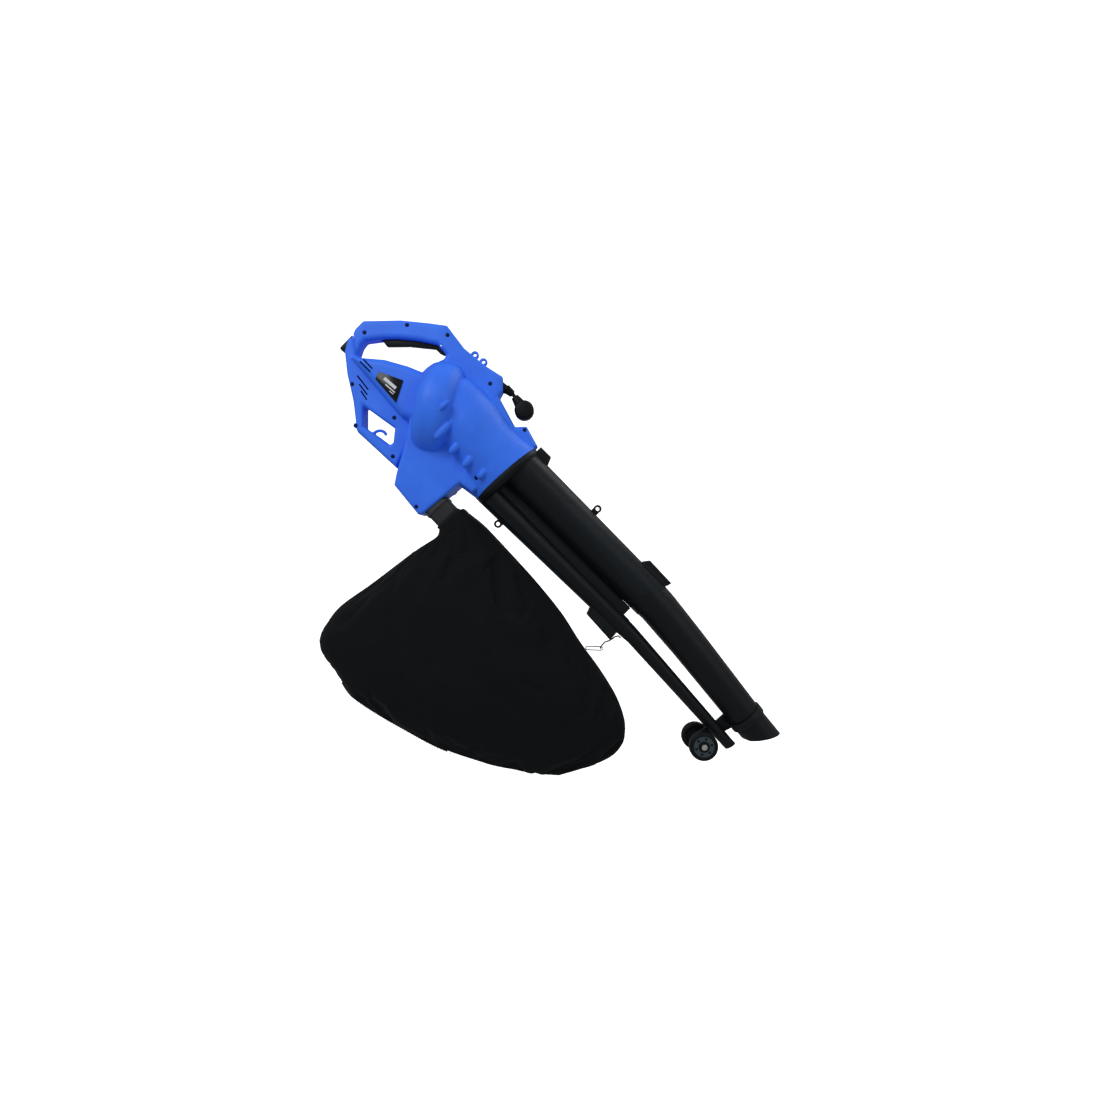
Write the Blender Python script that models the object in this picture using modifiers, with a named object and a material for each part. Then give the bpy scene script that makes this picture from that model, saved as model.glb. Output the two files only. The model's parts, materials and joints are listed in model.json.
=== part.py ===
"""Hand-held electric leaf blower and vacuum with twin tubes, guide wheels and a collecting bag.

Frame: the origin is the centre of the grip, +X runs forward, +Z up, and -Y is the user's right-hand side.
The profile tables below are in millimetres in the X-Z plane; MM turns them into metres.
"""

import math

import bmesh
import bpy
from mathutils import Matrix, Vector

MM = 0.001
GAP = 0.3                    # clearance left between pieces that touch
WALL = 2.6                   # housing wall
TUBE_WALL = 2.4              # wall of the tubes and the nozzles
GRIP_HALF = 18.5             # half width of the grip across Y
FRAME_HALF = 23.0            # half width of the rear post and the hook frame
NOSE_HALF = 18.5             # half width of the front flange
BODY_HALF = 42.0             # half width of the motor body
OUTLET_HALF = 38.0           # half width of the flat outlet duct
LENGTH_SCALE = 1.0           # stretches the tubes and the nozzles along their run
FAN_AXIS = Vector((0.970, 0.0, -0.242))
FAN_CENTRE = Vector((70.0, 0.0, -154.0))
SCROLL_RADIUS = 96.0
SCROLL_HALF = 38.0
IMPELLER_RADIUS = 78.0
MOTOR_RADIUS = 29.2
SHAFT_RADIUS = 4.0
BEARING_RADIUS = 9.0
TUBE_AXIS = Vector((0.705, 0.0, -0.709))
SUCTION_TOP = Vector((224.0, 0.0, -263.0))
SUCTION_RADIUS = 43.5
SUCTION_END_RADIUS = 42.0
UPPER_TUBE_RUN = 361.0
SEAM_AXIS = Vector((0.29, 0.0, -0.957))
SUCTION_TIP = Vector((712.0, 0.0, -803.0))
BLOW_TOP = Vector((163.0, 0.0, -317.0))
BLOW_RADIUS = 25.0
BLOW_END_RADIUS = 18.5
BLOW_END = Vector((436.0, 0.0, -585.0))
BLOW_TIP = Vector((650.0, 0.0, -823.0))
WHEEL_CENTRE = Vector((588.0, 0.0, -813.0))
WHEEL_RADIUS = 28.0
WHEEL_WIDTH = 17.0
WHEEL_TRACK = 75.0           # centre to centre across Y
AXLE_RADIUS = 3.0
SCREW_HEAD_RADIUS = 3.2
SCREW_HEAD_DEPTH = 2.4
SCREW_SHANK_RADIUS = 1.7
BOSS_RADIUS = 5.0
BAG_AXIS = Vector((0.690, 0.0, -0.724))
BAG_MOUTH = Vector((64.0, 0.0, -343.0))
CONNECTOR_WIDTH = 50.0       # in the X-Z plane
CONNECTOR_HALF = 33.0        # across Y
BAG_HALF = 52.0
LEVER_PIVOT = Vector((-98.0, 0.0, -9.0))
TRIGGER_PIVOT = Vector((76.0, 0.0, -29.0))
CORD_RADIUS = 4.0

SILHOUETTE = [
    (-116, -40), (-96, 6), (-80, 22), (-6, 23.5), (50, 18), (86, 13), (120, -32), (164, -68), (196, -88),
    (197, -117), (190, -130), (221, -188), (244, -187), (265.8, -226.6), (146, -331.4), (112, -306), (66, -280),
    (0, -262), (-14, -270), (-92, -198), (-99, -138), (-111, -85),
]
REAR_FRAME = [
    (-115, -40), (-108, -14), (-96, -14), (-92, -48), (-78, -56), (-20, -80), (20, -150), (12, -222),
    (-13, -269), (-91, -197), (-98, -138), (-110, -85),
]
HAND_OPENING = [
    (-76, -18), (-42, -13.5), (-10, -13), (28, -17), (67, -25), (80, -40), (84, -46), (80, -53),
    (70, -58), (59, -61), (46, -70), (35, -81), (13, -73), (-10, -66), (-33, -59), (-56, -55),
    (-84, -52), (-91, -48), (-84, -28),
]
LOOP_OPENING = [(-78, -147), (-16, -192), (-19, -220), (-26, -225), (-51, -206), (-78, -188)]
MOTOR_BODY = [
    (-100, -54.5), (-33, -60), (13, -73), (40, -84), (70, -90), (60, -195), (0, -172),
]
OUTLET_BODY = [
    (22, -140), (8, -222), (-9, -281), (-14, -305), (33, -363), (42, -362), (114, -302), (138, -320),
    (150, -312), (150, -270), (100, -200),
]
OUTLET_VOID = [
    (26, -150), (12, -222), (-6, -281), (-10, -304), (34, -356), (104, -298), (78, -268), (52, -205),
]
NOSE_VOID = [(92, -14), (112, -34), (186, -92), (188, -112), (166, -104), (128, -66), (100, -48), (80, -14)]
SCREWS = [
    ("screw_grip_rear", -76.0, -3.0, GRIP_HALF), ("screw_grip_front", 88.0, -8.0, GRIP_HALF),
    ("screw_grip_top", 8.0, 12.0, GRIP_HALF), ("screw_post", -99.0, -106.0, FRAME_HALF),
    ("screw_loop_rear", -92.0, -187.0, FRAME_HALF), ("screw_loop_inner", -16.0, -172.0, FRAME_HALF),
    ("screw_loop_front", -19.0, -248.0, FRAME_HALF), ("screw_outlet_low", 30.0, -348.0, OUTLET_HALF),
    ("screw_louvre_high", 92.0, -224.0, OUTLET_HALF), ("screw_louvre_low", 148.0, -292.0, OUTLET_HALF),
    ("screw_nose", 172.0, -104.0, NOSE_HALF), ("screw_collar", 240.0, -195.0, NOSE_HALF),
]

DUCT_STEPS = 24
BLOW_STEPS = 16
COLLAR_AXIS = Vector((0.659, 0.0, -0.753))
COLLAR_CENTRE = Vector((203.0, 0.0, -281.6))
COLLAR_ACROSS = Vector((0.753, 0.0, 0.659))
UPPER_LUG = [(460, -468), (476, -455), (489, -453), (531, -498), (524, -503), (496, -507.5), (450, -490)]
LOWER_LUG = [(372, -540), (363, -560), (409, -611), (420, -599), (427, -586), (405, -545)]
FLAP_PIVOT = Vector((86.0, 0.0, -306.0))
FLAP_UP = Vector((-0.36, 0.0, 0.933))
TUBE_SCREWS = [("screw_lug_upper_high", 485.0, -460.0), ("screw_lug_upper_low", 518.0, -494.0),
               ("screw_lug_lower", 384.0, -566.0)]
BAG_STATIONS = [
    ((73, -389), (119, -350), 39, 7.0), ((66, -408), (132, -363), 40, 5.0), ((20, -436), (160, -386), 42, 3.2),
    ((-64, -499), (212, -441), 48, 2.6), ((-130, -547), (262, -496), 53, 2.5),
    ((-160, -590), (312, -558), 56, 2.5), ((-166, -622), (350, -617), 57, 2.5),
    ((-151, -651), (387, -668), 57, 2.5), ((-134, -675), (418, -718), 55, 2.5),
    ((-121, -699), (435, -760), 51, 2.5), ((-104, -722), (439, -790), 45, 2.5),
    ((-64, -751), (431, -822), 36, 2.5), ((-1, -788), (404, -848), 25, 2.5),
    ((80, -830), (360, -866), 15, 2.5), ((190, -866), (306, -882), 7, 2.5),
]

WORK = bpy.data.collections.new("cutters")
PARTS = bpy.data.collections.new("leaf_blower")


def start_scene() -> None:
    """Empty the scene and make the collections for the parts and for the cutters."""
    for item in list(bpy.data.objects):
        bpy.data.objects.remove(item)
    for collection in (PARTS, WORK):
        bpy.context.scene.collection.children.link(collection)
    WORK.hide_render = True


def helper(name, mesh):
    """A cutter or other helper object, hidden in renders."""
    item = bpy.data.objects.new(name, mesh)
    item.hide_render = True
    item.display_type = "WIRE"
    WORK.objects.link(item)
    return item


def bake(item, weld=2e-6, split=False):
    """Turn the evaluated helper into a plain mesh, with points this close made one."""
    bpy.context.view_layer.update()
    evaluated = item.evaluated_get(bpy.context.evaluated_depsgraph_get())
    mesh = bpy.data.meshes.new_from_object(evaluated)
    mesh.transform(item.matrix_world)
    work = bmesh.new()
    work.from_mesh(mesh)
    bmesh.ops.remove_doubles(work, verts=work.verts, dist=weld)
    if weld > 1e-6:
        bmesh.ops.recalc_face_normals(work, faces=work.faces)
    if split:
        bmesh.ops.triangulate(work, faces=work.faces)
    work.to_mesh(mesh)
    work.free()
    name = item.name
    bpy.data.objects.remove(item)
    return helper(name, mesh)


def plate(name, outline, half, bevel=0.0, holes=(), inset=0.0, centre_y=0.0, rounds=1):
    """A flat outline in X-Z, extruded to +-half about centre_y, with rounded rims and through holes."""
    curve = bpy.data.curves.new(name, "CURVE")
    curve.dimensions = "2D"
    curve.fill_mode = "BOTH"
    for ring in [outline, *holes]:
        spline = curve.splines.new("POLY")
        spline.points.add(len(ring) - 1)
        for point, (x, z) in zip(spline.points, ring):
            point.co = (x * MM, z * MM, 0.0, 1.0)
        spline.use_cyclic_u = True
    curve.extrude = (half - bevel) * MM
    curve.bevel_depth = bevel * MM
    curve.bevel_resolution = rounds
    curve.offset = -(bevel + inset) * MM
    item = helper(name, curve)
    item.rotation_euler = (math.radians(90.0), 0.0, 0.0)
    item.location = (0.0, centre_y * MM, 0.0)
    return bake(item)


def towards(axis):
    """The rotation that turns +Z onto the axis, keeping local X in the X-Z plane."""
    side = Vector((0.0, 1.0, 0.0))
    if abs(axis.normalized().dot(side)) > 0.99:
        return axis.to_track_quat("Z", "Y").to_matrix().to_4x4()
    z = axis.normalized()
    x = side.cross(z).normalized()
    return Matrix((x, z.cross(x), z)).transposed().to_4x4()


def lathe(name, profile, centre, axis, steps=32):
    """A profile of (radius, height), listed from the top down, turned about the axis through the centre."""
    mesh = bpy.data.meshes.new(name)
    points = [(radius * MM, 0.0, height * MM) for radius, height in profile]
    mesh.from_pydata(points, [(i, i + 1) for i in range(len(points) - 1)], [])
    item = helper(name, mesh)
    screw = item.modifiers.new("turn", "SCREW")
    screw.axis = "Z"
    screw.steps = steps
    screw.render_steps = steps
    screw.use_merge_vertices = True
    screw.merge_threshold = 1e-6
    item.matrix_world = Matrix.Translation(centre * MM) @ towards(axis) @ Matrix.Rotation(math.pi / steps, 4, "Z")
    return bake(item)


def rod(name, start, end, radius, end_radius=None, steps=20):
    """A solid round bar or cone between two points."""
    end_radius = radius if end_radius is None else end_radius
    run = end - start
    profile = [(0.0, run.length), (end_radius, run.length), (radius, 0.0), (0.0, 0.0)]
    return lathe(name, profile, start, run, steps)


def ring_points(centre, axis, across, half_y, steps, power=2.0):
    """Points of an oval square to the axis: across is its half size in X-Z and half_y across Y."""
    turn = towards(axis)
    points = []
    for i in range(steps):
        angle = 2.0 * math.pi * (i + 0.5) / steps
        c, s = math.cos(angle), math.sin(angle)
        cx = math.copysign(abs(c) ** (2.0 / power), c)
        sy = math.copysign(abs(s) ** (2.0 / power), s)
        points.append((centre + turn @ Vector((across * cx, half_y * sy, 0.0))) * MM)
    return points


def loft(name, rings, steps=28, power=2.0):
    """A closed solid through oval rings of (centre, axis, across, half_y) and, where it differs, the power."""
    points = []
    faces = []
    for centre, axis, across, half_y, *own in rings:
        points += ring_points(centre, axis, across, half_y, steps, own[0] if own else power)
    for row in range(len(rings) - 1):
        for i in range(steps):
            j = (i + 1) % steps
            low, high = row * steps, (row + 1) * steps
            faces.append((low + i, low + j, high + j, high + i))
    faces.append(tuple(range(steps))[::-1])
    faces.append(tuple(range((len(rings) - 1) * steps, len(rings) * steps)))
    mesh = bpy.data.meshes.new(name)
    mesh.from_pydata(points, [], faces)
    return bake(helper(name, mesh))


def sweep(name, path, radius, resolution=2):
    """A round bar along a list of points."""
    curve = bpy.data.curves.new(name, "CURVE")
    curve.dimensions = "3D"
    spline = curve.splines.new("POLY")
    spline.points.add(len(path) - 1)
    for point, place in zip(spline.points, path):
        point.co = (*(Vector(place) * MM), 1.0)
    curve.bevel_depth = radius * MM
    curve.bevel_resolution = resolution
    curve.use_fill_caps = True
    return bake(helper(name, curve))


def block(name, centre, size, axis=None):
    """A box of the given full size, with local Z along the axis when one is given."""
    mesh = bpy.data.meshes.new(name)
    work = bmesh.new()
    bmesh.ops.create_cube(work, size=1.0)
    work.to_mesh(mesh)
    work.free()
    turn = towards(axis) if axis is not None else Matrix.Identity(4)
    mesh.transform(Matrix.Translation(Vector(centre) * MM) @ turn @ Matrix.Diagonal((*(Vector(size) * MM), 1.0)))
    return helper(name, mesh)


def combine(base, others, operation, split=False):
    """Apply one exact Boolean of all the others to the base, and return the base."""
    group = bpy.data.collections.new("operands")
    WORK.children.link(group)
    for other in others:
        WORK.objects.unlink(other)
        group.objects.link(other)
    modifier = base.modifiers.new("combine", "BOOLEAN")
    modifier.operation = operation
    modifier.solver = "EXACT"
    modifier.operand_type = "COLLECTION"
    modifier.collection = group
    base = bake(base, weld=2e-8, split=split)
    for other in others:
        bpy.data.objects.remove(other)
    bpy.data.collections.remove(group)
    return base


def join(base, *others, split=False):
    """The union of the base with the others, in triangles when split."""
    return combine(base, others, "UNION", split)


def cut(base, *others, split=False):
    """The base with the others taken away, in triangles when split."""
    return combine(base, others, "DIFFERENCE", split)


def copy(item):
    """A second helper with the same mesh."""
    return helper(item.name, item.data.copy())


def finish(item, name, colour, roughness, metallic=0.0, pivot=None):
    """Turn a helper into a named part with its own material, its origin on the pivot and smooth shading."""
    mesh = item.data
    bpy.data.objects.remove(item)
    place = Vector((0.0, 0.0, 0.0)) if pivot is None else pivot * MM
    mesh.transform(Matrix.Translation(-place))
    part = bpy.data.objects.new(name, mesh)
    part.location = place
    PARTS.objects.link(part)
    material = bpy.data.materials.new(name)
    material.use_nodes = True
    shader = material.node_tree.nodes["Principled BSDF"]
    shader.inputs["Base Color"].default_value = (*colour, 1.0)
    shader.inputs["Roughness"].default_value = roughness
    shader.inputs["Metallic"].default_value = metallic
    mesh.materials.clear()
    mesh.materials.append(material)
    mesh.shade_smooth()
    mesh.set_sharp_from_angle(angle=math.radians(32.0))
    return part


BLUE = (0.035, 0.12, 0.95)
BLACK = (0.012, 0.015, 0.018)
DARK = (0.02, 0.02, 0.022)
STEEL = (0.55, 0.56, 0.58)
COPPER = (0.55, 0.24, 0.1)
GREY = (0.1, 0.13, 0.16)
CLOTH = (0.006, 0.007, 0.009)


def at(distance, lift=0.0, side=0.0):
    """A point on the fan axis, forward of the fan centre, lifted square to the axis and moved across Y."""
    up = Vector((-FAN_AXIS.z, 0.0, FAN_AXIS.x))
    return FAN_CENTRE + FAN_AXIS * distance + up * lift + Vector((0.0, side, 0.0))


def suction_at(distance):
    """A point on the axis of the suction tube."""
    return SUCTION_TOP + TUBE_AXIS * distance * LENGTH_SCALE


def rim_profile(radius, half, fillet, eye=0.0):
    """A thick disc profile with rounded rims, from the top down."""
    points = [(eye, half)]
    for i in range(4):
        angle = math.pi / 2 * (1 - i / 3)
        points.append((radius - fillet + fillet * math.cos(angle), half - fillet + fillet * math.sin(angle)))
    return points + [(r, -h) for r, h in reversed(points)]


def collar_rings(inset, extend=0.0):
    """Rings of the elbow from the fan inlet down to the collar that holds both tubes."""
    stops = [
        ((84.0, -157.0), -14.0, 84.0, 84.0), ((107.0, -166.8), -17.0, 86.0, 85.0),
        ((126.3, -184.2), -24.0, 78.0, 81.0), ((146.2, -206.0), -33.0, 72.0, 76.0),
        ((165.0, -234.0), -41.0, 70.0, 69.0), ((182.0, -256.5), -47.0, 72.0, 63.0),
        ((203.0 + extend * 0.659, -281.6 - extend * 0.753), -48.8, 78.0, 60.0),
    ]
    rings = []
    for (x, z), degrees, across, half_y in stops:
        angle = math.radians(degrees)
        axis = Vector((math.cos(angle), 0.0, math.sin(angle)))
        rings.append((Vector((x, 0.0, z)), axis, across - inset, half_y - inset))
    return rings


def suction_void(grow=0.0):
    """The air passage from the suction tube up to the eye of the fan, or its walls when grown."""
    rings = [
        (at(SCROLL_HALF - (9.0 if grow else 12.0)), FAN_AXIS, 56.0, 60.0),
        (Vector((128.0, 0.0, -172.0)), Vector((0.93, 0.0, -0.37)), 56.0, 58.0),
        (Vector((158.0, 0.0, -194.0)), Vector((0.82, 0.0, -0.57)), 52.0, 54.0),
        (Vector((188.0, 0.0, -226.0)), TUBE_AXIS, 46.0, 48.0),
        (SUCTION_TOP - TUBE_AXIS * 18.0, TUBE_AXIS, SUCTION_RADIUS + GAP, SUCTION_RADIUS + GAP),
        (SUCTION_TOP + TUBE_AXIS * 30.0, TUBE_AXIS, SUCTION_RADIUS + GAP, SUCTION_RADIUS + GAP),
    ]
    return loft("suction_void", [(centre, axis, across + grow, half + grow) for centre, axis, across, half in rings],
                DUCT_STEPS)


def blow_void(grow=0.0):
    """The air passage from the outlet duct into the blowing tube, or its walls when grown."""
    axis = (BLOW_END - BLOW_TOP).normalized()
    spigot = BLOW_TOP + Vector((0.753, 0.0, 0.659)) * 5.0
    rings = [
        (Vector((62.0, 0.0, -276.0)), Vector((0.98, 0.0, -0.2)), 16.0, 22.0),
        (Vector((90.0, 0.0, -280.0)), Vector((0.98, 0.0, -0.2)), 16.0, 22.0),
        (Vector((108.0, 0.0, -283.0)), Vector((0.96, 0.0, -0.28)), 16.0, 22.0),
        (spigot - axis * 30.0, axis, 17.0, 19.0),
        (spigot - axis * 16.0, axis, 19.0 + GAP, 19.0 + GAP),
        (spigot + axis * 30.0, axis, 19.0 + GAP, 19.0 + GAP),
    ]
    if grow > 0.0:
        rings = rings[1:]
    grown = [(centre, axis, across + grow, half + grow) for centre, axis, across, half in rings]
    return loft("blow_void", grown, BLOW_STEPS)


def housing_outside():
    """The closed outer shape of the blue housing."""
    solid = plate("outside", SILHOUETTE, GRIP_HALF, 6.0, [HAND_OPENING, LOOP_OPENING])
    rear = plate("rear", REAR_FRAME, FRAME_HALF, 5.0, [LOOP_OPENING])
    body = plate("body", MOTOR_BODY, BODY_HALF, 13.0, rounds=2)
    outlet = plate("outlet", OUTLET_BODY, OUTLET_HALF, 6.0)
    scroll = lathe("scroll", rim_profile(SCROLL_RADIUS, SCROLL_HALF, 26.0), FAN_CENTRE, FAN_AXIS, 28)
    elbow = loft("elbow", collar_rings(0.0), 24)
    solid = join(solid, rear, body, outlet, scroll, elbow)
    hook = sweep(
        "hook",
        [(-66, 0, -206), (-62, 0, -199), (-57, 0, -195), (-50, 0, -193.5), (-43, 0, -195), (-39, 0, -199),
         (-38, 0, -203)],
        3.2,
    )
    eyelets = []
    for x, z in ((140.0, -43.0), (157.0, -57.0)):
        eyelets.append(rod("eyelet", Vector((x, -4.0, z)), Vector((x, 4.0, z)), 7.5))
    return join(solid, hook, *eyelets)


def housing_inside():
    """The hollow of the housing, as solids to take away from its outer shape."""
    grip = plate(
        "grip_void",
        [(-104, -24), (-92, 6), (-82, 16), (-40, 19), (-6, 20.5), (50, 15), (82, 11), (94, -4), (66, -21),
         (28, -13.5), (-10, -9.5), (-42, -10), (-78, -14), (-87, -27), (-95, -50), (-108, -52)],
        GRIP_HALF - WALL,
    )
    rear = plate("rear_void", REAR_FRAME, FRAME_HALF - WALL, 0.0, [widened(LOOP_OPENING, WALL)], inset=WALL)
    body = plate("body_void", MOTOR_BODY, BODY_HALF - WALL, 9.0, inset=WALL)
    outlet = plate("outlet_void", OUTLET_VOID, OUTLET_HALF - WALL, 3.0)
    nose = plate("nose_void", NOSE_VOID, GRIP_HALF - WALL - 2.0)
    profile = rim_profile(SCROLL_RADIUS - WALL, SCROLL_HALF - WALL, 24.0)
    scroll = lathe("scroll_void", profile, FAN_CENTRE, FAN_AXIS, 28)
    elbow = loft("elbow_void", collar_rings(WALL, 20.0), 24)
    return join(grip, rear, body, outlet, nose, scroll, elbow)


def ducts():
    """The walls of both air passages and the plate around the eye of the fan, trimmed at the collar."""
    eye = ring("eye", 92.0, 50.0, SCROLL_HALF - WALL, SCROLL_HALF + 0.4, 28)
    trim = block("trim", COLLAR_CENTRE + COLLAR_AXIS * 98.5, (300.0, 300.0, 200.0), COLLAR_AXIS)
    return cut(join(suction_void(WALL), eye, blow_void(WALL)), trim)


def widened(ring, distance):
    """The ring moved outwards from its own middle by the distance."""
    cx = sum(x for x, _ in ring) / len(ring)
    cz = sum(z for _, z in ring) / len(ring)
    moved = []
    for x, z in ring:
        run = math.hypot(x - cx, z - cz)
        grow = (run + distance * 1.4) / run
        moved.append((cx + (x - cx) * grow, cz + (z - cz) * grow))
    return moved


def build_housing():
    """Both halves of the clamshell, with the screws that hold them together."""
    solid = cut(housing_outside(), housing_inside(), split=True)
    bosses = []
    for name, x, z, half in SCREWS:
        reach = half - WALL + 0.9
        bosses.append(rod(name, Vector((x, -reach, z)), Vector((x, reach, z)), BOSS_RADIUS, steps=8))
    seat = block("seat", at(-107.0, lift=-8.0), (40.0, 2 * FRAME_HALF - 2.0, 10.0), FAN_AXIS)
    solid = join(solid, ducts(), seat, *bosses, split=True)
    cutters = [suction_void(), blow_void()]
    cutters += [rod("bearing", at(-111.2), at(-90.0), BEARING_RADIUS + GAP, steps=16)]
    mouth = [(BAG_MOUTH + BAG_AXIS * d, BAG_AXIS, CONNECTOR_WIDTH / 2 + GAP, CONNECTOR_HALF + GAP)
             for d in (-30.0, 30.0)]
    cutters.append(loft("mouth", mouth, 32, 7.0))
    cutters.append(rod("flap", FLAP_PIVOT + Vector((0, -OUTLET_HALF + 1.1, 0)), FLAP_PIVOT + Vector((0, 60, 0)),
                       4.0 + GAP, steps=16))
    for pivot in (TRIGGER_PIVOT, LEVER_PIVOT):
        cutters.append(rod("pin", pivot - Vector((0, 17.3, 0)), pivot + Vector((0, 17.3, 0)), 2.0 + GAP, steps=12))
    for name, x, z, half in SCREWS:
        cutters.append(rod(name, Vector((x, -half - 9.0, z)), Vector((x, -half + 4.0, z)),
                           SCREW_HEAD_RADIUS + GAP, steps=8))
        cutters.append(rod(name, Vector((x, -half, z)), Vector((x, half - 6.0, z)),
                           SCREW_SHANK_RADIUS + GAP, steps=8))
    for x, z in ((140.0, -43.0), (157.0, -57.0)):
        cutters.append(rod("eye", Vector((x, -12.0, z)), Vector((x, 12.0, z)), 3.8, steps=16))
    # trigger slot, lever slot, cord gland bore and the shaft opening between the motor and the fan
    cutters.append(plate("slot", [(-47, -5.3), (-47, -20), (40, -45), (87, -57), (89, -33), (73, -11.5), (28, -7.2)], 6.6))
    cutters.append(plate("slot", [(-84, -2), (-100, 8), (-140, -30), (-118, -52), (-98, -34)], 6.0))
    cutters.append(rod("cord", Vector((163.4, 0.0, -80.0)), Vector((214.8, 0.0, -119.9)), 7.6 + GAP))
    for start, end in (((-73, -61), (-54, -81)), ((-79, -66), (-58, -87))):
        cutters.append(vent(start, end, BODY_HALF))
    for start, end in (((-89, -89), (-67, -117)), ((-85, -106), (-69, -127)), ((-82, -119), (-70, -137))):
        cutters.append(vent(start, end, FRAME_HALF))
    solid = cut(solid, *cutters, split=True)
    big = 900.0
    for side, name in ((-1.0, "housing_right"), (1.0, "housing_left")):
        half = copy(solid)
        half = cut(half, block("rest", (60.0, -side * (big / 2 - GAP / 2), -140.0), (big, big, big)))
        finish(half, name, BLUE, 0.42)
    bpy.data.objects.remove(solid)
    for name, x, z, half in SCREWS:
        top = half - 4.0 + GAP
        length = 2.0 * half - 6.0 - 6.0
        profile = [
            (0.0, 0.6), (SCREW_HEAD_RADIUS * 0.6, 0.6), (SCREW_HEAD_RADIUS, 0.0),
            (SCREW_HEAD_RADIUS, -SCREW_HEAD_DEPTH + 0.6), (SCREW_SHANK_RADIUS, -SCREW_HEAD_DEPTH + 0.6),
            (SCREW_SHANK_RADIUS, -length), (0.0, -length - 1.5),
        ]
        seat_y = -(half - 4.0) - GAP - SCREW_HEAD_DEPTH + 0.6
        screw = lathe(name, profile, Vector((x, seat_y, z)), Vector((0.0, -1.0, 0.0)), 8)
        finish(screw, name, DARK, 0.4, 0.8)
    plate_points = [(-41, -87), (6, -104), (-8, -147), (-48, -101)]
    badge = plate("badge", plate_points, 0.8, centre_y=-BODY_HALF - GAP - 0.8)
    finish(badge, "name_plate", BLACK, 0.3)


def vent(start, end, half):
    """A slot through both side walls between two points in X-Z."""
    a, b = Vector(start), Vector(end)
    side = Vector((a.y - b.y, b.x - a.x)).normalized() * 1.5
    ring = [a + side, b + side, b - side, a - side]
    return plate("vent", [(p.x, p.y) for p in ring], half + 6.0)


def build_controls():
    """The trigger with its pin, spring and switch, and the speed lever with its pin and controller."""
    outline = [
        (-41, -9), (-41, -19), (-35, -26), (10, -25.5), (62, -31), (70, -39), (80, -44), (84, -36), (82, -24),
        (66, -19), (28, -12), (-10, -8),
    ]
    trigger = plate("trigger", outline, 6.0, 1.6)
    bore = rod("bore", TRIGGER_PIVOT + Vector((0, -9, 0)), TRIGGER_PIVOT + Vector((0, 9, 0)), 2.0 + GAP, steps=12)
    finish(cut(trigger, bore), "trigger", BLACK, 0.5, pivot=TRIGGER_PIVOT)
    finish(rod("pin", TRIGGER_PIVOT - Vector((0, 17, 0)), TRIGGER_PIVOT + Vector((0, 17, 0)), 2.0, steps=12),
           "trigger_pin", STEEL, 0.3, 1.0)
    turns = 5
    coil = []
    low, high = -7.3, 18.9
    for i in range(turns * 8 + 1):
        angle = 2.0 * math.pi * i / 8
        height = low + (high - low) * i / (turns * 8)
        coil.append((-20.0 + 3.6 * math.cos(angle), 3.6 * math.sin(angle), height))
    finish(sweep("spring", coil, 0.6, 1), "trigger_spring", STEEL, 0.3, 1.0)
    switch = block("switch", (30.0, 0.0, 5.0), (26.0, 2 * (GRIP_HALF - WALL - GAP), 13.0))
    button = block("button", (30.0, 0.0, -2.5), (8.0, 6.0, 4.0))
    finish(join(switch, button), "power_switch", DARK, 0.5)
    outline = [(-91, -7), (-97, 1), (-104, -3), (-128, -27.5), (-128, -32), (-122, -37), (-104, -22), (-96, -17)]
    lever = plate("lever", outline, 5.4, 1.4)
    bore = rod("bore", LEVER_PIVOT - Vector((0, 9, 0)), LEVER_PIVOT + Vector((0, 9, 0)), 2.0 + GAP, steps=12)
    finish(cut(lever, bore), "speed_lever", BLACK, 0.5, pivot=LEVER_PIVOT)
    finish(rod("pin", LEVER_PIVOT - Vector((0, 17, 0)), LEVER_PIVOT + Vector((0, 17, 0)), 2.0, steps=12),
           "speed_lever_pin", STEEL, 0.3, 1.0)
    finish(block("box", (-94.0, 0.0, -76.0), (14.0, 2 * (FRAME_HALF - WALL - GAP), 20.0)),
           "speed_controller", DARK, 0.5)


def build_cord():
    """The short mains lead that leaves the nose, with its gland and its moulded side-entry plug."""
    axis = Vector((0.79, 0.0, -0.613)).normalized()
    mouth = Vector((195.0, 0.0, -104.5))
    profile = [
        (0.0, 22.0), (5.6, 22.0), (7.6, 15.0), (9.2, 12.0), (9.2, 9.6), (7.6, 9.6), (7.6, -12.0), (0.0, -12.0),
    ]
    gland = lathe("gland", profile, mouth, axis, 20)
    bore = rod("bore", mouth - axis * 20.0, mouth + axis * 26.0, CORD_RADIUS + GAP)
    finish(cut(gland, bore), "cord_gland", DARK, 0.6)
    centre = Vector((238.5, 0.0, -153.5))
    back = Vector((219.5, 0.0, -126.0))
    run = (centre - back).normalized()
    path = [mouth - axis * 13.0, mouth + axis * 20.0, back - run * 5.0, back + run * 7.0]
    finish(sweep("cord", path, CORD_RADIUS - 0.1), "power_cord", DARK, 0.5)
    side = Vector((0.0, 1.0, 0.0))
    body = lathe("plug", rim_profile(19.5, 15.0, 7.0), centre, side, 28)
    neck = rod("neck", back, centre, 7.5, 15.0, 20)
    entry = rod("entry", back - run * 4.0, back + run * 8.0, CORD_RADIUS + GAP + 0.2, steps=16)
    finish(cut(join(body, neck), entry), "plug", DARK, 0.45)
    across = Vector((run.z, 0.0, -run.x))
    for number, offset in ((1, -9.5), (2, 9.5)):
        foot = centre + across * offset + side * (15.0 + GAP)
        finish(rod("pin", foot, foot + side * 19.0, 2.4, 2.2, 12), f"plug_pin_{number}", STEEL, 0.25, 1.0)


def ring(name, outer, inner, low, high, steps=28):
    """A round sleeve about the fan axis between two distances from the fan centre."""
    profile = [(inner, high), (outer, high), (outer, low), (inner, low), (inner, high)]
    return lathe(name, profile, FAN_CENTRE, FAN_AXIS, steps)


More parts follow.
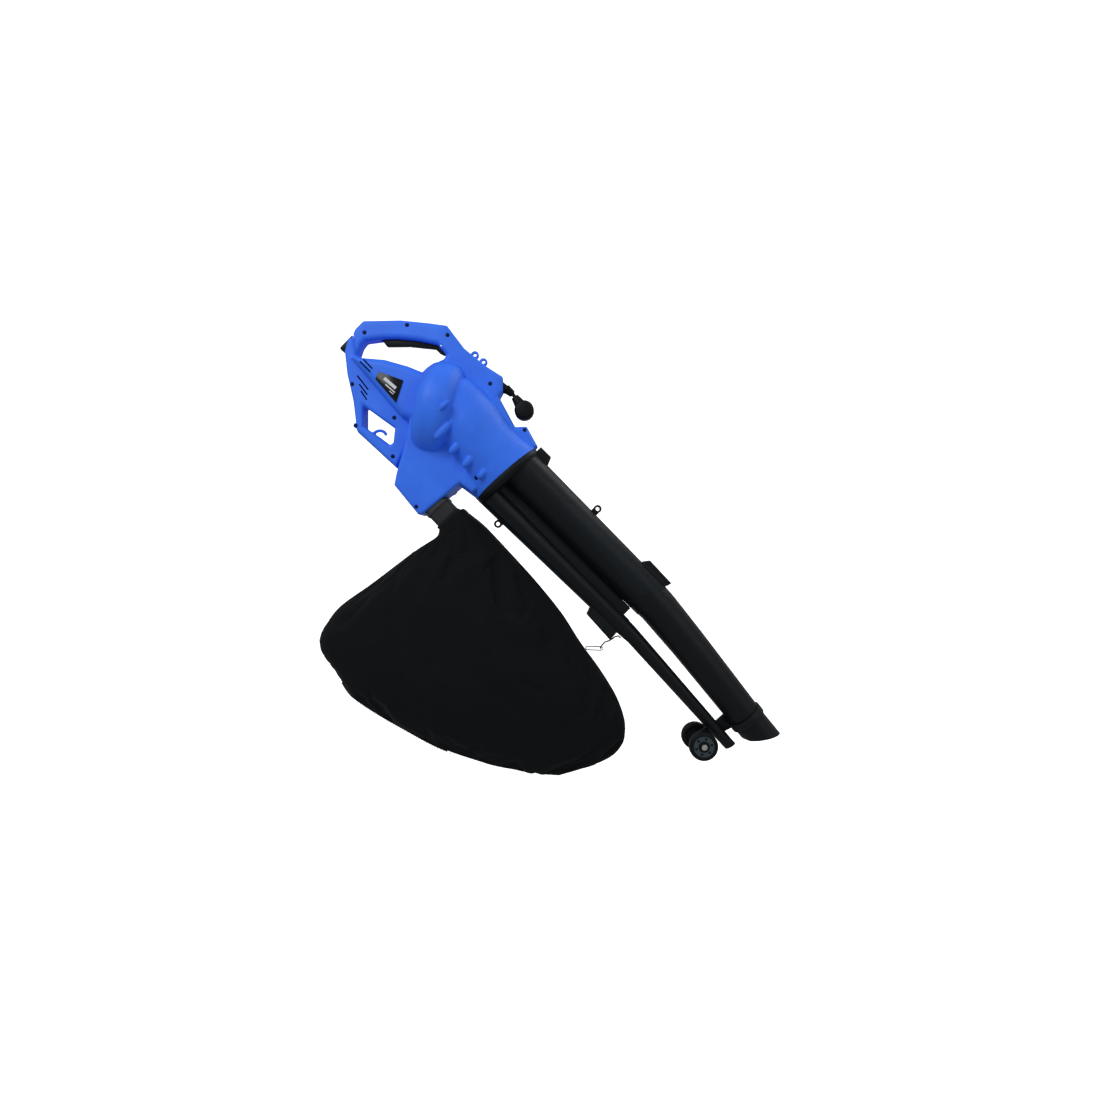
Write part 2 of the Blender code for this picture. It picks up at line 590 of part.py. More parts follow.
def build_motor():
    """The universal motor behind the fan, its bearings, brushes and mounting plate."""
    shaft_bore = SHAFT_RADIUS + GAP
    mount = join(ring("mount", 66.0, BEARING_RADIUS + GAP, -35.1, -31.6, 32),
                 ring("spigot", 29.0, BEARING_RADIUS + GAP, -41.6, -34.0, 32))
    finish(mount, "motor_mount", DARK, 0.5)
    finish(ring("stator", MOTOR_RADIUS, 21.6, -78.0, -41.9), "motor_stator", STEEL, 0.45, 0.8)
    finish(rod("shaft", at(-111.0), at(20.0), SHAFT_RADIUS, steps=16), "motor_shaft", STEEL, 0.25, 1.0)
    finish(ring("armature", 20.8, shaft_bore, -75.0, -44.5, 16), "armature", COPPER, 0.4, 0.9)
    finish(ring("commutator", 11.0, shaft_bore, -93.0, -79.0, 16), "commutator", COPPER, 0.35, 0.9)
    finish(ring("bearing", BEARING_RADIUS, shaft_bore, -41.0, -32.5, 16), "bearing_front", STEEL, 0.3, 1.0)
    finish(ring("bearing", BEARING_RADIUS, shaft_bore, -110.6, -102.6, 16), "bearing_rear", STEEL, 0.3, 1.0)
    reach = BODY_HALF - WALL - 9.0
    for side, name in ((-1.0, "brush_holder_right"), (1.0, "brush_holder_left")):
        middle = at(-85.2, side=side * (11.0 + GAP + reach) / 2)
        holder = block("brush", middle, (11.0, reach - 11.0 - GAP, 13.8), FAN_AXIS)
        finish(holder, name, COPPER, 0.4, 0.6)


def build_fan():
    """The impeller and the nut that holds it on the shaft."""
    disc = rod("disc", at(-28.0), at(-25.4), IMPELLER_RADIUS, steps=36)
    hub = rod("hub", at(-29.0), at(4.0), 12.0, steps=20)
    bore = rod("bore", at(-40.0), at(20.0), SHAFT_RADIUS + GAP, steps=16)
    blades = []
    for i in range(8):
        angle = 2.0 * math.pi * i / 8
        middle = FAN_CENTRE * MM
        blade = block("blade", (44.0, 0.0, -8.0), (66.0, 2.4, 36.0))
        blade.data.transform(Matrix.Translation(middle) @ towards(FAN_AXIS) @ Matrix.Rotation(angle, 4, "Z"))
        blades.append(blade)
    finish(cut(join(disc, hub, *blades), bore), "impeller", GREY, 0.45, pivot=FAN_CENTRE)
    nut = ring("nut", 8.5, SHAFT_RADIUS + 1.1, 4.0 + GAP, 11.0, 6)
    finish(nut, "impeller_nut", STEEL, 0.3, 1.0)


def build_mode_selector():
    """The flap that sends the air to the bag or to the blowing tube, and the knob that turns it."""
    reach = OUTLET_HALF - WALL - 1.0
    leaf = block("leaf", FLAP_PIVOT + FLAP_UP * 22.0, (2.4, 2 * reach, 44.0), FLAP_UP)
    shaft = rod("shaft", FLAP_PIVOT + Vector((0, -OUTLET_HALF + 1.4, 0)), FLAP_PIVOT + Vector((0, 47, 0)), 4.0,
                steps=16)
    finish(join(leaf, shaft), "mode_flap", BLACK, 0.5, pivot=FLAP_PIVOT)
    centre = FLAP_PIVOT + Vector((0.0, OUTLET_HALF + GAP, 0.0))
    profile = [(0.0, 12.0), (12.0, 12.0), (14.0, 10.0), (15.0, 0.0), (0.0, 0.0)]
    knob = lathe("knob", profile, centre, Vector((0, 1, 0)), 24)
    grip = block("grip", centre + Vector((0.0, 13.0, 0.0)) + FLAP_UP * 1.0, (6.0, 9.0, 25.0), FLAP_UP)
    bore = rod("bore", centre - Vector((0, 1, 0)), centre + Vector((0, 9.3, 0)), 4.0 + GAP, steps=16)
    finish(cut(join(knob, grip), bore), "mode_knob", BLACK, 0.5, pivot=FLAP_PIVOT)


def tube_axis_blow():
    """The direction of the blowing tube."""
    return (BLOW_END - BLOW_TOP).normalized()


def build_tubes():
    """The moulded pair of tubes, the two nozzles pushed onto it and the screws that hold them."""
    axis = tube_axis_blow()
    spigot = BLOW_TOP + COLLAR_ACROSS * 5.0
    end = suction_at(UPPER_TUBE_RUN)
    outer = loft("suction_tube", [
        (SUCTION_TOP - TUBE_AXIS * 14.0, TUBE_AXIS, SUCTION_RADIUS, SUCTION_RADIUS),
        (SUCTION_TOP + TUBE_AXIS * 40.0, TUBE_AXIS, SUCTION_RADIUS, SUCTION_RADIUS),
        (end, SEAM_AXIS, SUCTION_END_RADIUS + 3.5, SUCTION_END_RADIUS),
    ], DUCT_STEPS)
    flange = loft("flange", [
        (COLLAR_CENTRE + COLLAR_AXIS * GAP, COLLAR_AXIS, 77.0, 59.0),
        (COLLAR_CENTRE + COLLAR_AXIS * 7.0, COLLAR_AXIS, 77.0, 59.0),
        (COLLAR_CENTRE + COLLAR_AXIS * 16.0, COLLAR_AXIS, 73.0, 50.0),
    ], 32)
    blow = loft("blow", [
        (BLOW_TOP + axis * 2.0, axis, BLOW_RADIUS - 1.0, BLOW_RADIUS),
        (BLOW_END, axis, BLOW_END_RADIUS, BLOW_END_RADIUS),
    ], 24)
    stub = loft("stub", [(spigot + axis * d, axis, 19.0, 19.0) for d in (-14.0, 8.0)], BLOW_STEPS)
    web_outline = [(196, -300), (450, -548), (436, -562), (182, -314)]
    web = plate("web", web_outline, 9.0, 2.0)
    upper = plate("upper", UPPER_LUG, 12.0, 2.0)
    lower = plate("lower", LOWER_LUG, 12.0, 2.0)
    tab = plate("tab", [(268, -231), (272, -227), (292, -247), (286, -262), (262, -262), (250, -247)], 9.0, 1.5)
    eyes = []
    for (x, z), (inward_x, inward_z) in (((385, -350), (-12, -12)), ((186, -380), (14, 12))):
        eyes.append(rod("eye", Vector((x, -4, z)), Vector((x, 4, z)), 8.0, steps=16))
        eyes.append(block("eye", (x + inward_x * 0.6, 0.0, z + inward_z * 0.6), (14.6, 7.2, 15.0), TUBE_AXIS))
    solid = join(outer, flange, blow, stub, web, upper, lower, tab, *eyes)
    inner = SUCTION_RADIUS - TUBE_WALL
    inner_end = SUCTION_END_RADIUS - TUBE_WALL
    bore = loft("bore", [
        (SUCTION_TOP - TUBE_AXIS * 40.0, TUBE_AXIS, inner, inner),
        (SUCTION_TOP + TUBE_AXIS * 40.0, TUBE_AXIS, inner, inner),
        (suction_at(UPPER_TUBE_RUN + 60.0), TUBE_AXIS, inner_end, inner_end),
    ], DUCT_STEPS)
    blow_bore = loft("bore", [
        (spigot - axis * 30.0, axis, 16.6, 16.6), (spigot + axis * 4.0, axis, 16.6, 16.6),
        (BLOW_TOP + axis * 22.0, axis, BLOW_RADIUS - TUBE_WALL - 1.0, BLOW_RADIUS - TUBE_WALL - 1.0),
        (BLOW_END + axis * 10.0, axis, BLOW_END_RADIUS - TUBE_WALL, BLOW_END_RADIUS - TUBE_WALL),
    ], 24)
    holes = []
    for x, z in ((385, -350), (186, -380)):
        holes.append(rod("hole", Vector((x, -9, z)), Vector((x, 9, z)), 4.0, steps=16))
    for _, x, z in TUBE_SCREWS:
        holes.append(rod("hole", Vector((x, -14, z)), Vector((x, -9.4, z)), SCREW_HEAD_RADIUS + GAP, steps=8))
        holes.append(rod("hole", Vector((x, -10, z)), Vector((x, 9, z)), SCREW_SHANK_RADIUS + GAP, steps=8))
    finish(cut(solid, bore, blow_bore, *holes), "twin_tube", BLACK, 0.42)
    for name, x, z in TUBE_SCREWS:
        profile = [
            (0.0, 0.6), (SCREW_HEAD_RADIUS * 0.6, 0.6), (SCREW_HEAD_RADIUS, 0.0),
            (SCREW_HEAD_RADIUS, -SCREW_HEAD_DEPTH + 0.6), (SCREW_SHANK_RADIUS, -SCREW_HEAD_DEPTH + 0.6),
            (SCREW_SHANK_RADIUS, -18.0), (0.0, -19.0),
        ]
        screw = lathe(name, profile, Vector((x, -9.4 - GAP - SCREW_HEAD_DEPTH + 0.6, z)), Vector((0, -1, 0)), 8)
        finish(screw, name, DARK, 0.4, 0.8)
    build_suction_nozzle()
    build_blow_nozzle()


def nozzle_rings(inset):
    """Rings of the suction nozzle below the twin tube, from its slanted seam to its level mouth."""
    start = suction_at(UPPER_TUBE_RUN)
    run = (SUCTION_TIP - start).normalized()
    return [
        (start + SEAM_AXIS * GAP, SEAM_AXIS, 44.5 - inset, 41.0 - inset),
        (start + TUBE_AXIS * 10.0, Vector((0.38, 0.0, -0.925)), 42.5 - inset, 40.5 - inset),
        (start + TUBE_AXIS * 40.0, Vector((0.55, 0.0, -0.835)), 38.5 - inset, 38.5 - inset),
        (SUCTION_TIP - run * 52.0, run, 32.5 - inset, 32.5 - inset),
        (SUCTION_TIP, Vector((0.2, 0.0, -0.98)), 37.0 - inset, 32.0 - inset),
    ]


def build_suction_nozzle():
    """The tapered suction nozzle with its spigot inside the twin tube."""
    start = suction_at(UPPER_TUBE_RUN)
    radius = SUCTION_END_RADIUS - TUBE_WALL - GAP - 0.3
    body = loft("nozzle", nozzle_rings(0.0), DUCT_STEPS)
    spigot = loft("spigot", [(start + TUBE_AXIS * d, TUBE_AXIS, radius, radius) for d in (-44.0, 26.0)], DUCT_STEPS)
    inner = nozzle_rings(TUBE_WALL)
    radius -= TUBE_WALL
    bore = loft("bore", [
        (start - TUBE_AXIS * 60.0, TUBE_AXIS, radius, radius), (start + TUBE_AXIS * 4.0, TUBE_AXIS, radius, radius),
        (start + TUBE_AXIS * 42.0, inner[2][1], inner[2][2], inner[2][3]), inner[3],
        (SUCTION_TIP + Vector((4.0, 0.0, -20.0)), inner[4][1], inner[4][2], inner[4][3])], DUCT_STEPS)
    finish(cut(join(body, spigot), bore), "suction_nozzle", BLACK, 0.42)


def build_blow_nozzle():
    """The slim blowing nozzle with its spigot inside the twin tube and its slanted tip."""
    axis = tube_axis_blow()
    run = (BLOW_TIP - BLOW_END).normalized()
    radius = BLOW_END_RADIUS - TUBE_WALL - GAP
    body = loft("nozzle", [
        (BLOW_END - axis * 24.0, axis, radius, radius), (BLOW_END + axis * 0.2, axis, radius, radius),
        (BLOW_END + axis * GAP, axis, 17.5, 17.5), (BLOW_END + axis * 12.0, axis, 17.0, 17.0),
        (BLOW_END + axis * 30.0, run, 15.8, 15.8), (BLOW_TIP - run * 12.0, run, 11.4, 11.4),
        (BLOW_TIP, Vector((0.5, 0.0, -0.866)), 11.6, 11.0)], 24)
    bore = loft("bore", [
        (BLOW_END - axis * 40.0, axis, radius - 2.0, radius - 2.0),
        (BLOW_END + axis * 12.0, axis, radius - 2.0, radius - 2.0),
        (BLOW_END + axis * 30.0, run, 13.2, 13.2), (BLOW_TIP + run * 20.0, run, 8.8, 8.8)], 24)
    finish(cut(body, bore), "blow_nozzle", BLACK, 0.42)


def build_wheels():
    """The bracket on the suction nozzle, the axle and the two guide wheels."""
    rings = nozzle_rings(0.0)
    run = (rings[-1][0] - rings[-3][0]).normalized()
    middle = rings[-2][0] + run * 4.0
    clear = 32.5 + GAP + 0.5
    band = loft("band", [(middle - run * 8.0, run, clear + 3.4, clear + 3.0),
                         (middle + run * 8.0, run, clear + 3.2, clear + 3.0)], 32)
    arm = plate("arm", [(664, -750), (684, -772), (660, -790), (600, -822), (588, -824), (579, -818), (577, -808),
                        (582, -803), (622, -782), (640, -766)], 4.5, 1.0, centre_y=19.0)
    hub = rod("hub", WHEEL_CENTRE + Vector((0, -26, 0)), WHEEL_CENTRE + Vector((0, 26, 0)), 8.0, steps=20)
    solid = join(band, arm, hub)
    lower = nozzle_rings(-GAP - 0.4)
    cutter = loft("cutter", [lower[2], lower[3], (middle + run * 30.0, run, clear, clear)], 32)
    bore = rod("bore", WHEEL_CENTRE - Vector((0, 40, 0)), WHEEL_CENTRE + Vector((0, 40, 0)), AXLE_RADIUS + GAP,
               steps=16)
    finish(cut(solid, cutter, bore), "wheel_bracket", BLACK, 0.45)
    half = WHEEL_TRACK / 2 + WHEEL_WIDTH / 2
    axle = lathe("axle", [(0.0, half + 3.0), (5.5, half + 3.0), (5.5, half + GAP), (AXLE_RADIUS, half + GAP),
                          (AXLE_RADIUS, -half - GAP), (5.5, -half - GAP), (5.5, -half - 3.0), (0.0, -half - 3.0)],
                 WHEEL_CENTRE, Vector((0, 1, 0)), 16)
    finish(axle, "wheel_axle", STEEL, 0.3, 1.0)
    for side, name in ((-1.0, "wheel_right"), (1.0, "wheel_left")):
        centre = WHEEL_CENTRE + Vector((0.0, side * WHEEL_TRACK / 2, 0.0))
        w = WHEEL_WIDTH / 2
        bore_radius = AXLE_RADIUS + GAP
        profile = [
            (bore_radius, w), (9.0, w), (10.0, w - 2.0), (20.0, w - 3.0), (21.0, w), (25.0, w), (27.4, w - 1.5),
            (WHEEL_RADIUS, w - 4.0), (WHEEL_RADIUS, -w + 4.0), (27.4, -w + 1.5), (25.0, -w), (21.0, -w),
            (20.0, -w + 3.0), (10.0, -w + 2.0), (9.0, -w), (bore_radius, -w), (bore_radius, w),
        ]
        finish(lathe(name, profile, centre, Vector((0, 1, 0)), 24), name, BLACK, 0.6, pivot=centre)


def bag_rings(inset):
    """Oval rings of the filled bag, from its neck down to its lowest corner."""
    rings = []
    for (lx, lz), (rx, rz), half, power in BAG_STATIONS:
        left, right = Vector((lx, 0.0, lz)), Vector((rx, 0.0, rz))
        across = (right - left).normalized()
        axis = Vector((-across.z, 0.0, across.x)) * -1.0
        rings.append(((left + right) / 2.0, axis, (right - left).length / 2.0 - inset, half - inset, power))
    return rings




def build_bag():
    """The connector that plugs into the outlet duct, the bag with its clamping collar, and its hook."""
    place = [(BAG_MOUTH + BAG_AXIS * d, BAG_AXIS, CONNECTOR_WIDTH / 2, CONNECTOR_HALF) for d in (-13.0, 58.0)]
    body = loft("connector", place, 32, 7.0)
    lip = loft("lip", [(BAG_MOUTH + BAG_AXIS * d, BAG_AXIS, CONNECTOR_WIDTH / 2 + 2.0, CONNECTOR_HALF + 2.0)
                       for d in (6.5, 10.5)], 32, 7.0)
    bore = loft("bore", [(BAG_MOUTH + BAG_AXIS * d, BAG_AXIS, CONNECTOR_WIDTH / 2 - 2.2, CONNECTOR_HALF - 2.2)
                         for d in (-20.0, 70.0)], 32, 7.0)
    finish(cut(join(body, lip), bore), "bag_connector", BLACK, 0.45)
    clear = GAP
    outer = loft("collar", [
        (BAG_MOUTH + BAG_AXIS * d, BAG_AXIS, CONNECTOR_WIDTH / 2 + 3.0, CONNECTOR_HALF + 3.0) for d in (36.0, 58.0)
    ], 32, 7.0)
    bore = loft("bore", [(BAG_MOUTH + BAG_AXIS * d, BAG_AXIS, CONNECTOR_WIDTH / 2 + clear, CONNECTOR_HALF + clear)
                         for d in (20.0, 70.0)], 32, 7.0)
    finish(cut(outer, bore), "bag_collar", DARK, 0.6)
    bag = loft("bag", bag_rings(0.0), 28, 2.5)
    inner = bag_rings(2.0)
    centre, axis, across, half, power = inner[0]
    inner[0] = (centre + axis * 12.0, axis, across - 4.0, half - 4.0, power)
    inner.insert(0, (centre - axis * 9.0, axis, across - 4.0, half - 4.0, power))
    bag = cut(bag, loft("void", inner[:-1], 28, 2.5))
    mouth = loft("mouth", [
        (BAG_MOUTH + BAG_AXIS * d, BAG_AXIS, CONNECTOR_WIDTH / 2 + 3.0 + GAP, CONNECTOR_HALF + 3.0 + GAP)
        for d in (20.0, 72.0)], 32, 7.0)
    finish(cut(bag, mouth), "leaf_bag", CLOTH, 0.9)
    hook = [(391, -4.5, -628), (391, 3, -628), (394, 3, -623), (400, 1, -616), (408, 0, -613.4), (414, 0, -610),
            (420, 0, -605.4), (427, 0, -603.8), (431, 0, -608)]
    finish(sweep("hook", hook, 1.6, 2), "bag_hook", BLACK, 0.4)
    loop = []
    for i in range(24):
        angle = 2.0 * math.pi * i / 24
        shift = 11.5 if math.cos(angle) > 0.0 else -15.0
        loop.append((380.0 + shift + 3.6 * math.cos(angle), 0.0, -628.5 + 3.6 * math.sin(angle) - shift * 0.04))
    finish(sweep("loop", loop, 1.1, 1), "bag_loop", CLOTH, 0.8)


def main():
    start_scene()
    build_housing()
    build_controls()
    build_cord()
    build_motor()
    build_fan()
    build_mode_selector()
    build_tubes()
    build_wheels()
    build_bag()


main()
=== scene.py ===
"""Looks of the hand-held leaf blower.

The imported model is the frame, and every visible piece is dressed around it.
"""

import json
import logging
import math
from dataclasses import dataclass, field
from enum import Enum

import bmesh
import bpy
from mathutils import Matrix, Vector, noise
from mathutils.bvhtree import BVHTree

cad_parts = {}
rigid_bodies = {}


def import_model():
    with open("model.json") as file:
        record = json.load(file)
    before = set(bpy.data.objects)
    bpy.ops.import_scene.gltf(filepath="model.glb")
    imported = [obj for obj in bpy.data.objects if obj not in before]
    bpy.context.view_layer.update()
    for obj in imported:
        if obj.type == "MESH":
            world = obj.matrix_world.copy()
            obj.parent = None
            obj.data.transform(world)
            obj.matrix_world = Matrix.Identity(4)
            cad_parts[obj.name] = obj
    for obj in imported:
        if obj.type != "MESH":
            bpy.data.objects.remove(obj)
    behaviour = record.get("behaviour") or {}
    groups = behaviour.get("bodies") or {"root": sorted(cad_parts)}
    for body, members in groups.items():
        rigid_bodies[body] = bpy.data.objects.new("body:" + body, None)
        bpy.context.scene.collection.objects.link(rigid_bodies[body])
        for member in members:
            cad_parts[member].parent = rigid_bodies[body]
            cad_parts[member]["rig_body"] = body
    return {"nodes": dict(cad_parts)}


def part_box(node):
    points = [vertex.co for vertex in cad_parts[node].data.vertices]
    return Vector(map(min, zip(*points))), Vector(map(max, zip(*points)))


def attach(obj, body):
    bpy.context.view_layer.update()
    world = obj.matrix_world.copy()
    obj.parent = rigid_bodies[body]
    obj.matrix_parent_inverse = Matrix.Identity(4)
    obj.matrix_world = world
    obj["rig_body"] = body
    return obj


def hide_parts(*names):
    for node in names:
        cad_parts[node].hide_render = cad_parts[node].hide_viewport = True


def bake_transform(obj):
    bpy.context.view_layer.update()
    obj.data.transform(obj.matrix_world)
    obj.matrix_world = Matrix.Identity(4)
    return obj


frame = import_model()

LOG = logging.getLogger("leaf_blower")
MM = 0.001
Outline = tuple[tuple[float, float], ...]
Ring = tuple[Vector, Vector, float, float]


class Operation(Enum):
    """How one solid changes another."""

    CUT = "DIFFERENCE"
    ADD = "UNION"


class Side(Enum):
    """The two sides of the clamshell, by the sign of Y."""

    RIGHT = -1.0
    LEFT = 1.0


# ---------------------------------------------------------------- modelling tools


def clear_selection() -> None:
    """Leave edit mode and deselect everything."""
    if bpy.context.object and bpy.context.object.mode != "OBJECT":
        bpy.ops.object.mode_set(mode="OBJECT")
    bpy.ops.object.select_all(action="DESELECT")


def activate(item: bpy.types.Object) -> None:
    """Make one object the only selected one and the active one."""
    clear_selection()
    item.select_set(True)
    bpy.context.view_layer.objects.active = item


def open_edit(item: bpy.types.Object) -> None:
    """Enter edit mode on one object with all of its mesh selected."""
    activate(item)
    bpy.ops.object.mode_set(mode="EDIT")
    bpy.ops.mesh.select_all(action="SELECT")


def close_edit() -> None:
    """Return to object mode."""
    bpy.ops.object.mode_set(mode="OBJECT")


def settle(item: bpy.types.Object) -> bpy.types.Object:
    """Put an object's place into its mesh, so that the object itself sits at the origin.

    Args:
        item: The object to settle.

    Returns:
        The same object.
    """
    activate(item)
    bpy.ops.object.transform_apply(location=True, rotation=True, scale=True)
    return item


def face_outwards(item: bpy.types.Object, merge: float = 1e-6) -> None:
    """Merge doubles and turn every normal outwards.

    Args:
        item: The mesh object to clean.
        merge: Distance in metres under which two points become one.
    """
    open_edit(item)
    bpy.ops.mesh.remove_doubles(threshold=merge)
    bpy.ops.mesh.normals_make_consistent(inside=False)
    close_edit()


def apply_all(item: bpy.types.Object) -> None:
    """Apply every modifier of an object, in order."""
    activate(item)
    for name in [modifier.name for modifier in item.modifiers]:
        bpy.ops.object.modifier_apply(modifier=name)


def smooth_by(item: bpy.types.Object, degrees: float) -> None:
    """Shade an object smooth, with edges above the angle kept crisp."""
    activate(item)
    bpy.ops.object.shade_smooth_by_angle(angle=math.radians(degrees))


def join_meshes(items: list[bpy.types.Object], name: str) -> bpy.types.Object:
    """Join several mesh objects into one object.

    Args:
        items: The objects, of which the first one stays.
        name: The name of the result.

    Returns:
        The joined object.
    """
    activate(items[0])
    for item in items[1:]:
        item.select_set(True)
    bpy.ops.object.join()
    items[0].name = name
    return items[0]


def towards(axis: Vector) -> Matrix:
    """The rotation that turns +Z onto the axis, with local X kept in the X-Z plane.

    Args:
        axis: The direction for local Z.

    Returns:
        A 4x4 rotation.
    """
    side = Vector((0.0, 1.0, 0.0))
    z = axis.normalized()
    if abs(z.dot(side)) > 0.99:
        return z.to_track_quat("Z", "Y").to_matrix().to_4x4()
    x = side.cross(z).normalized()
    return Matrix((x, z.cross(x), z)).transposed().to_4x4()


def ring_place(ring: Ring) -> Matrix:
    """The matrix that puts a unit circle where a ring lies, from sizes in millimetres."""
    centre, axis, across, half = ring
    size = Matrix.Diagonal((across * MM, half * MM, 1.0, 1.0))
    return Matrix.Translation(centre * MM) @ towards(axis) @ size


def loft(name: str, rings: list[Ring], steps: int = 64, power: float = 2.0) -> bpy.types.Object:
    """A closed solid extruded from a circle through a list of oval rings.

    Args:
        name: The object's name.
        rings: Centre, axis, half size in X-Z and half size across Y of each ring, in millimetres.
        steps: Points around the circle.
        power: 2 for an oval, and more for a squarer outline.

    Returns:
        The new object.
    """
    clear_selection()
    bpy.ops.mesh.primitive_circle_add(vertices=steps, radius=1.0, fill_type="NGON")
    item = bpy.context.object
    item.name = name
    for vertex in item.data.vertices:
        x, y, _ = vertex.co
        vertex.co.x = math.copysign(abs(x) ** (2.0 / power), x)
        vertex.co.y = math.copysign(abs(y) ** (2.0 / power), y)
    last = ring_place(rings[0])
    item.data.transform(last)
    open_edit(item)
    for ring in rings[1:]:
        bpy.ops.mesh.extrude_region_move()
        now = ring_place(ring)
        step = now @ last.inverted()
        work = bmesh.from_edit_mesh(item.data)
        for vertex in work.verts:
            if vertex.select:
                vertex.co = step @ vertex.co
        bmesh.update_edit_mesh(item.data)
        last = now
    close_edit()
    face_outwards(item, 1e-7)
    return item


def turned(name: str, profile: list[tuple[float, float]], centre: Vector, axis: Vector,
           steps: int = 64) -> bpy.types.Object:
    """A solid turned about an axis, from a profile of (radius, height) in millimetres.

    Args:
        name: The object's name.
        profile: Radius and height of each step, from one end to the other.
        centre: The point at height 0.
        axis: The direction of the axis.
        steps: Points around the circle.

    Returns:
        The new object.
    """
    run = axis.normalized()
    return loft(name, [(centre + run * height, axis, max(radius, 0.02), max(radius, 0.02))
                       for radius, height in profile], steps)


def bar(name: str, start: Vector, end: Vector, radius: float, end_radius: float | None = None,
        steps: int = 32) -> bpy.types.Object:
    """A round bar or cone between two points in millimetres."""
    return loft(name, [(start, end - start, radius, radius),
                       (end, end - start, end_radius or radius, end_radius or radius)], steps)


def plate(name: str, outline: Outline, half: float, bevel: float = 0.0, holes: tuple[Outline, ...] = (),
          inset: float = 0.0, centre_y: float = 0.0, rounds: int = 3) -> bpy.types.Object:
    """A flat outline in X-Z, thickened across Y, with rounded rims and through holes.

    Args:
        name: The object's name.
        outline: Points of the outline in millimetres.
        half: Half thickness across Y.
        bevel: Radius of the rounded rims.
        holes: Outlines of through holes.
        inset: How far the outline is moved inwards.
        centre_y: The middle of the thickness.
        rounds: Segments of the rounded rim.

    Returns:
        The new mesh object.
    """
    clear_selection()
    curve = bpy.data.curves.new(name, "CURVE")
    curve.dimensions = "2D"
    curve.fill_mode = "BOTH"
    for ring in (outline, *holes):
        spline = curve.splines.new("POLY")
        spline.points.add(len(ring) - 1)
        for place, (x, z) in zip(spline.points, ring):
            place.co = (x * MM, z * MM, 0.0, 1.0)
        spline.use_cyclic_u = True
    curve.extrude = (half - bevel) * MM
    curve.bevel_depth = bevel * MM
    curve.bevel_resolution = rounds
    curve.offset = -(bevel + inset) * MM
    item = bpy.data.objects.new(name, curve)
    bpy.context.scene.collection.objects.link(item)
    item.rotation_euler = (math.radians(90.0), 0.0, 0.0)
    item.location = (0.0, centre_y * MM, 0.0)
    activate(item)
    bpy.ops.object.convert(target="MESH")
    settle(item)
    face_outwards(item, 2e-6)
    return item


def block(name: str, centre: Vector, size: tuple[float, float, float], axis: Vector | None = None,
          bevel: float = 0.0) -> bpy.types.Object:
    """A box of a full size in millimetres, with local Z along the axis and its edges rounded.

    Args:
        name: The object's name.
        centre: The middle of the box.
        size: The full sizes along local X, Y and Z.
        axis: The direction of local Z, or None for world axes.
        bevel: Radius of the rounded edges.

    Returns:
        The new object.
    """
    clear_selection()
    bpy.ops.mesh.primitive_cube_add(size=1.0)
    item = bpy.context.object
    item.name = name
    turn = towards(axis) if axis is not None else Matrix.Identity(4)
    scale = Matrix.Diagonal((*(s * MM for s in size), 1.0))
    item.data.transform(Matrix.Translation(centre * MM) @ turn @ scale)
    if bevel:
        open_edit(item)
        bpy.ops.mesh.bevel(offset=bevel * MM, segments=3, affect="EDGES")
        close_edit()
    return item


def swept(name: str, path: list[Vector], radius: float, closed: bool = False,
          resolution: int = 4) -> bpy.types.Object:
    """A round bar that follows a list of points in millimetres.

    Args:
        name: The object's name.
        path: The points that the bar follows.
        radius: The bar's radius in millimetres.
        closed: Whether the bar closes on itself.
        resolution: Roundness of the bar.

    Returns:
        The new mesh object.
    """
    curve = bpy.data.curves.new(name, "CURVE")
    curve.dimensions = "3D"
    spline = curve.splines.new("POLY")
    spline.points.add(len(path) - 1)
    for place, spot in zip(spline.points, path):
        place.co = (*(spot * MM), 1.0)
    spline.use_cyclic_u = closed
    curve.bevel_depth = radius * MM
    curve.bevel_resolution = resolution
    curve.use_fill_caps = not closed
    item = bpy.data.objects.new(name, curve)
    bpy.context.scene.collection.objects.link(item)
    activate(item)
    bpy.ops.object.convert(target="MESH")
    face_outwards(item)
    smooth_by(item, 50.0)
    return item


def rounded_path(points: list[Vector], per_span: int = 6) -> list[Vector]:
    """Points of a smooth curve through the given points.

    Args:
        points: The points to pass through.
        per_span: How many points replace each span.

    Returns:
        The denser list of points.
    """
    ends = [points[0] * 2 - points[1], *points, points[-1] * 2 - points[-2]]
    path = []
    for a, b, c, d in zip(ends, ends[1:], ends[2:], ends[3:]):
        for i in range(per_span):
            t = i / per_span
            path.append(0.5 * ((2 * b) + (c - a) * t + (2 * a - 5 * b + 4 * c - d) * t ** 2
                               + (3 * b - a - 3 * c + d) * t ** 3))
    return [*path, points[-1]]


def carve(base: bpy.types.Object, others: list[bpy.types.Object], operation: Operation) -> bpy.types.Object:
    """Cut solids from a base or add them to it, and remove them.

    Args:
        base: The closed mesh that changes.
        others: Closed meshes used one after the other.
        operation: Whether they are cut away or added.

    Returns:
        The base.
    """
    for other in others:
        modifier = base.modifiers.new("carve", "BOOLEAN")
        modifier.operation = operation.value
        modifier.solver = "MANIFOLD"
        modifier.object = other
        activate(base)
        bpy.ops.object.modifier_apply(modifier=modifier.name)
        bpy.data.objects.remove(other)
    return base


# ---------------------------------------------------------------- finishes


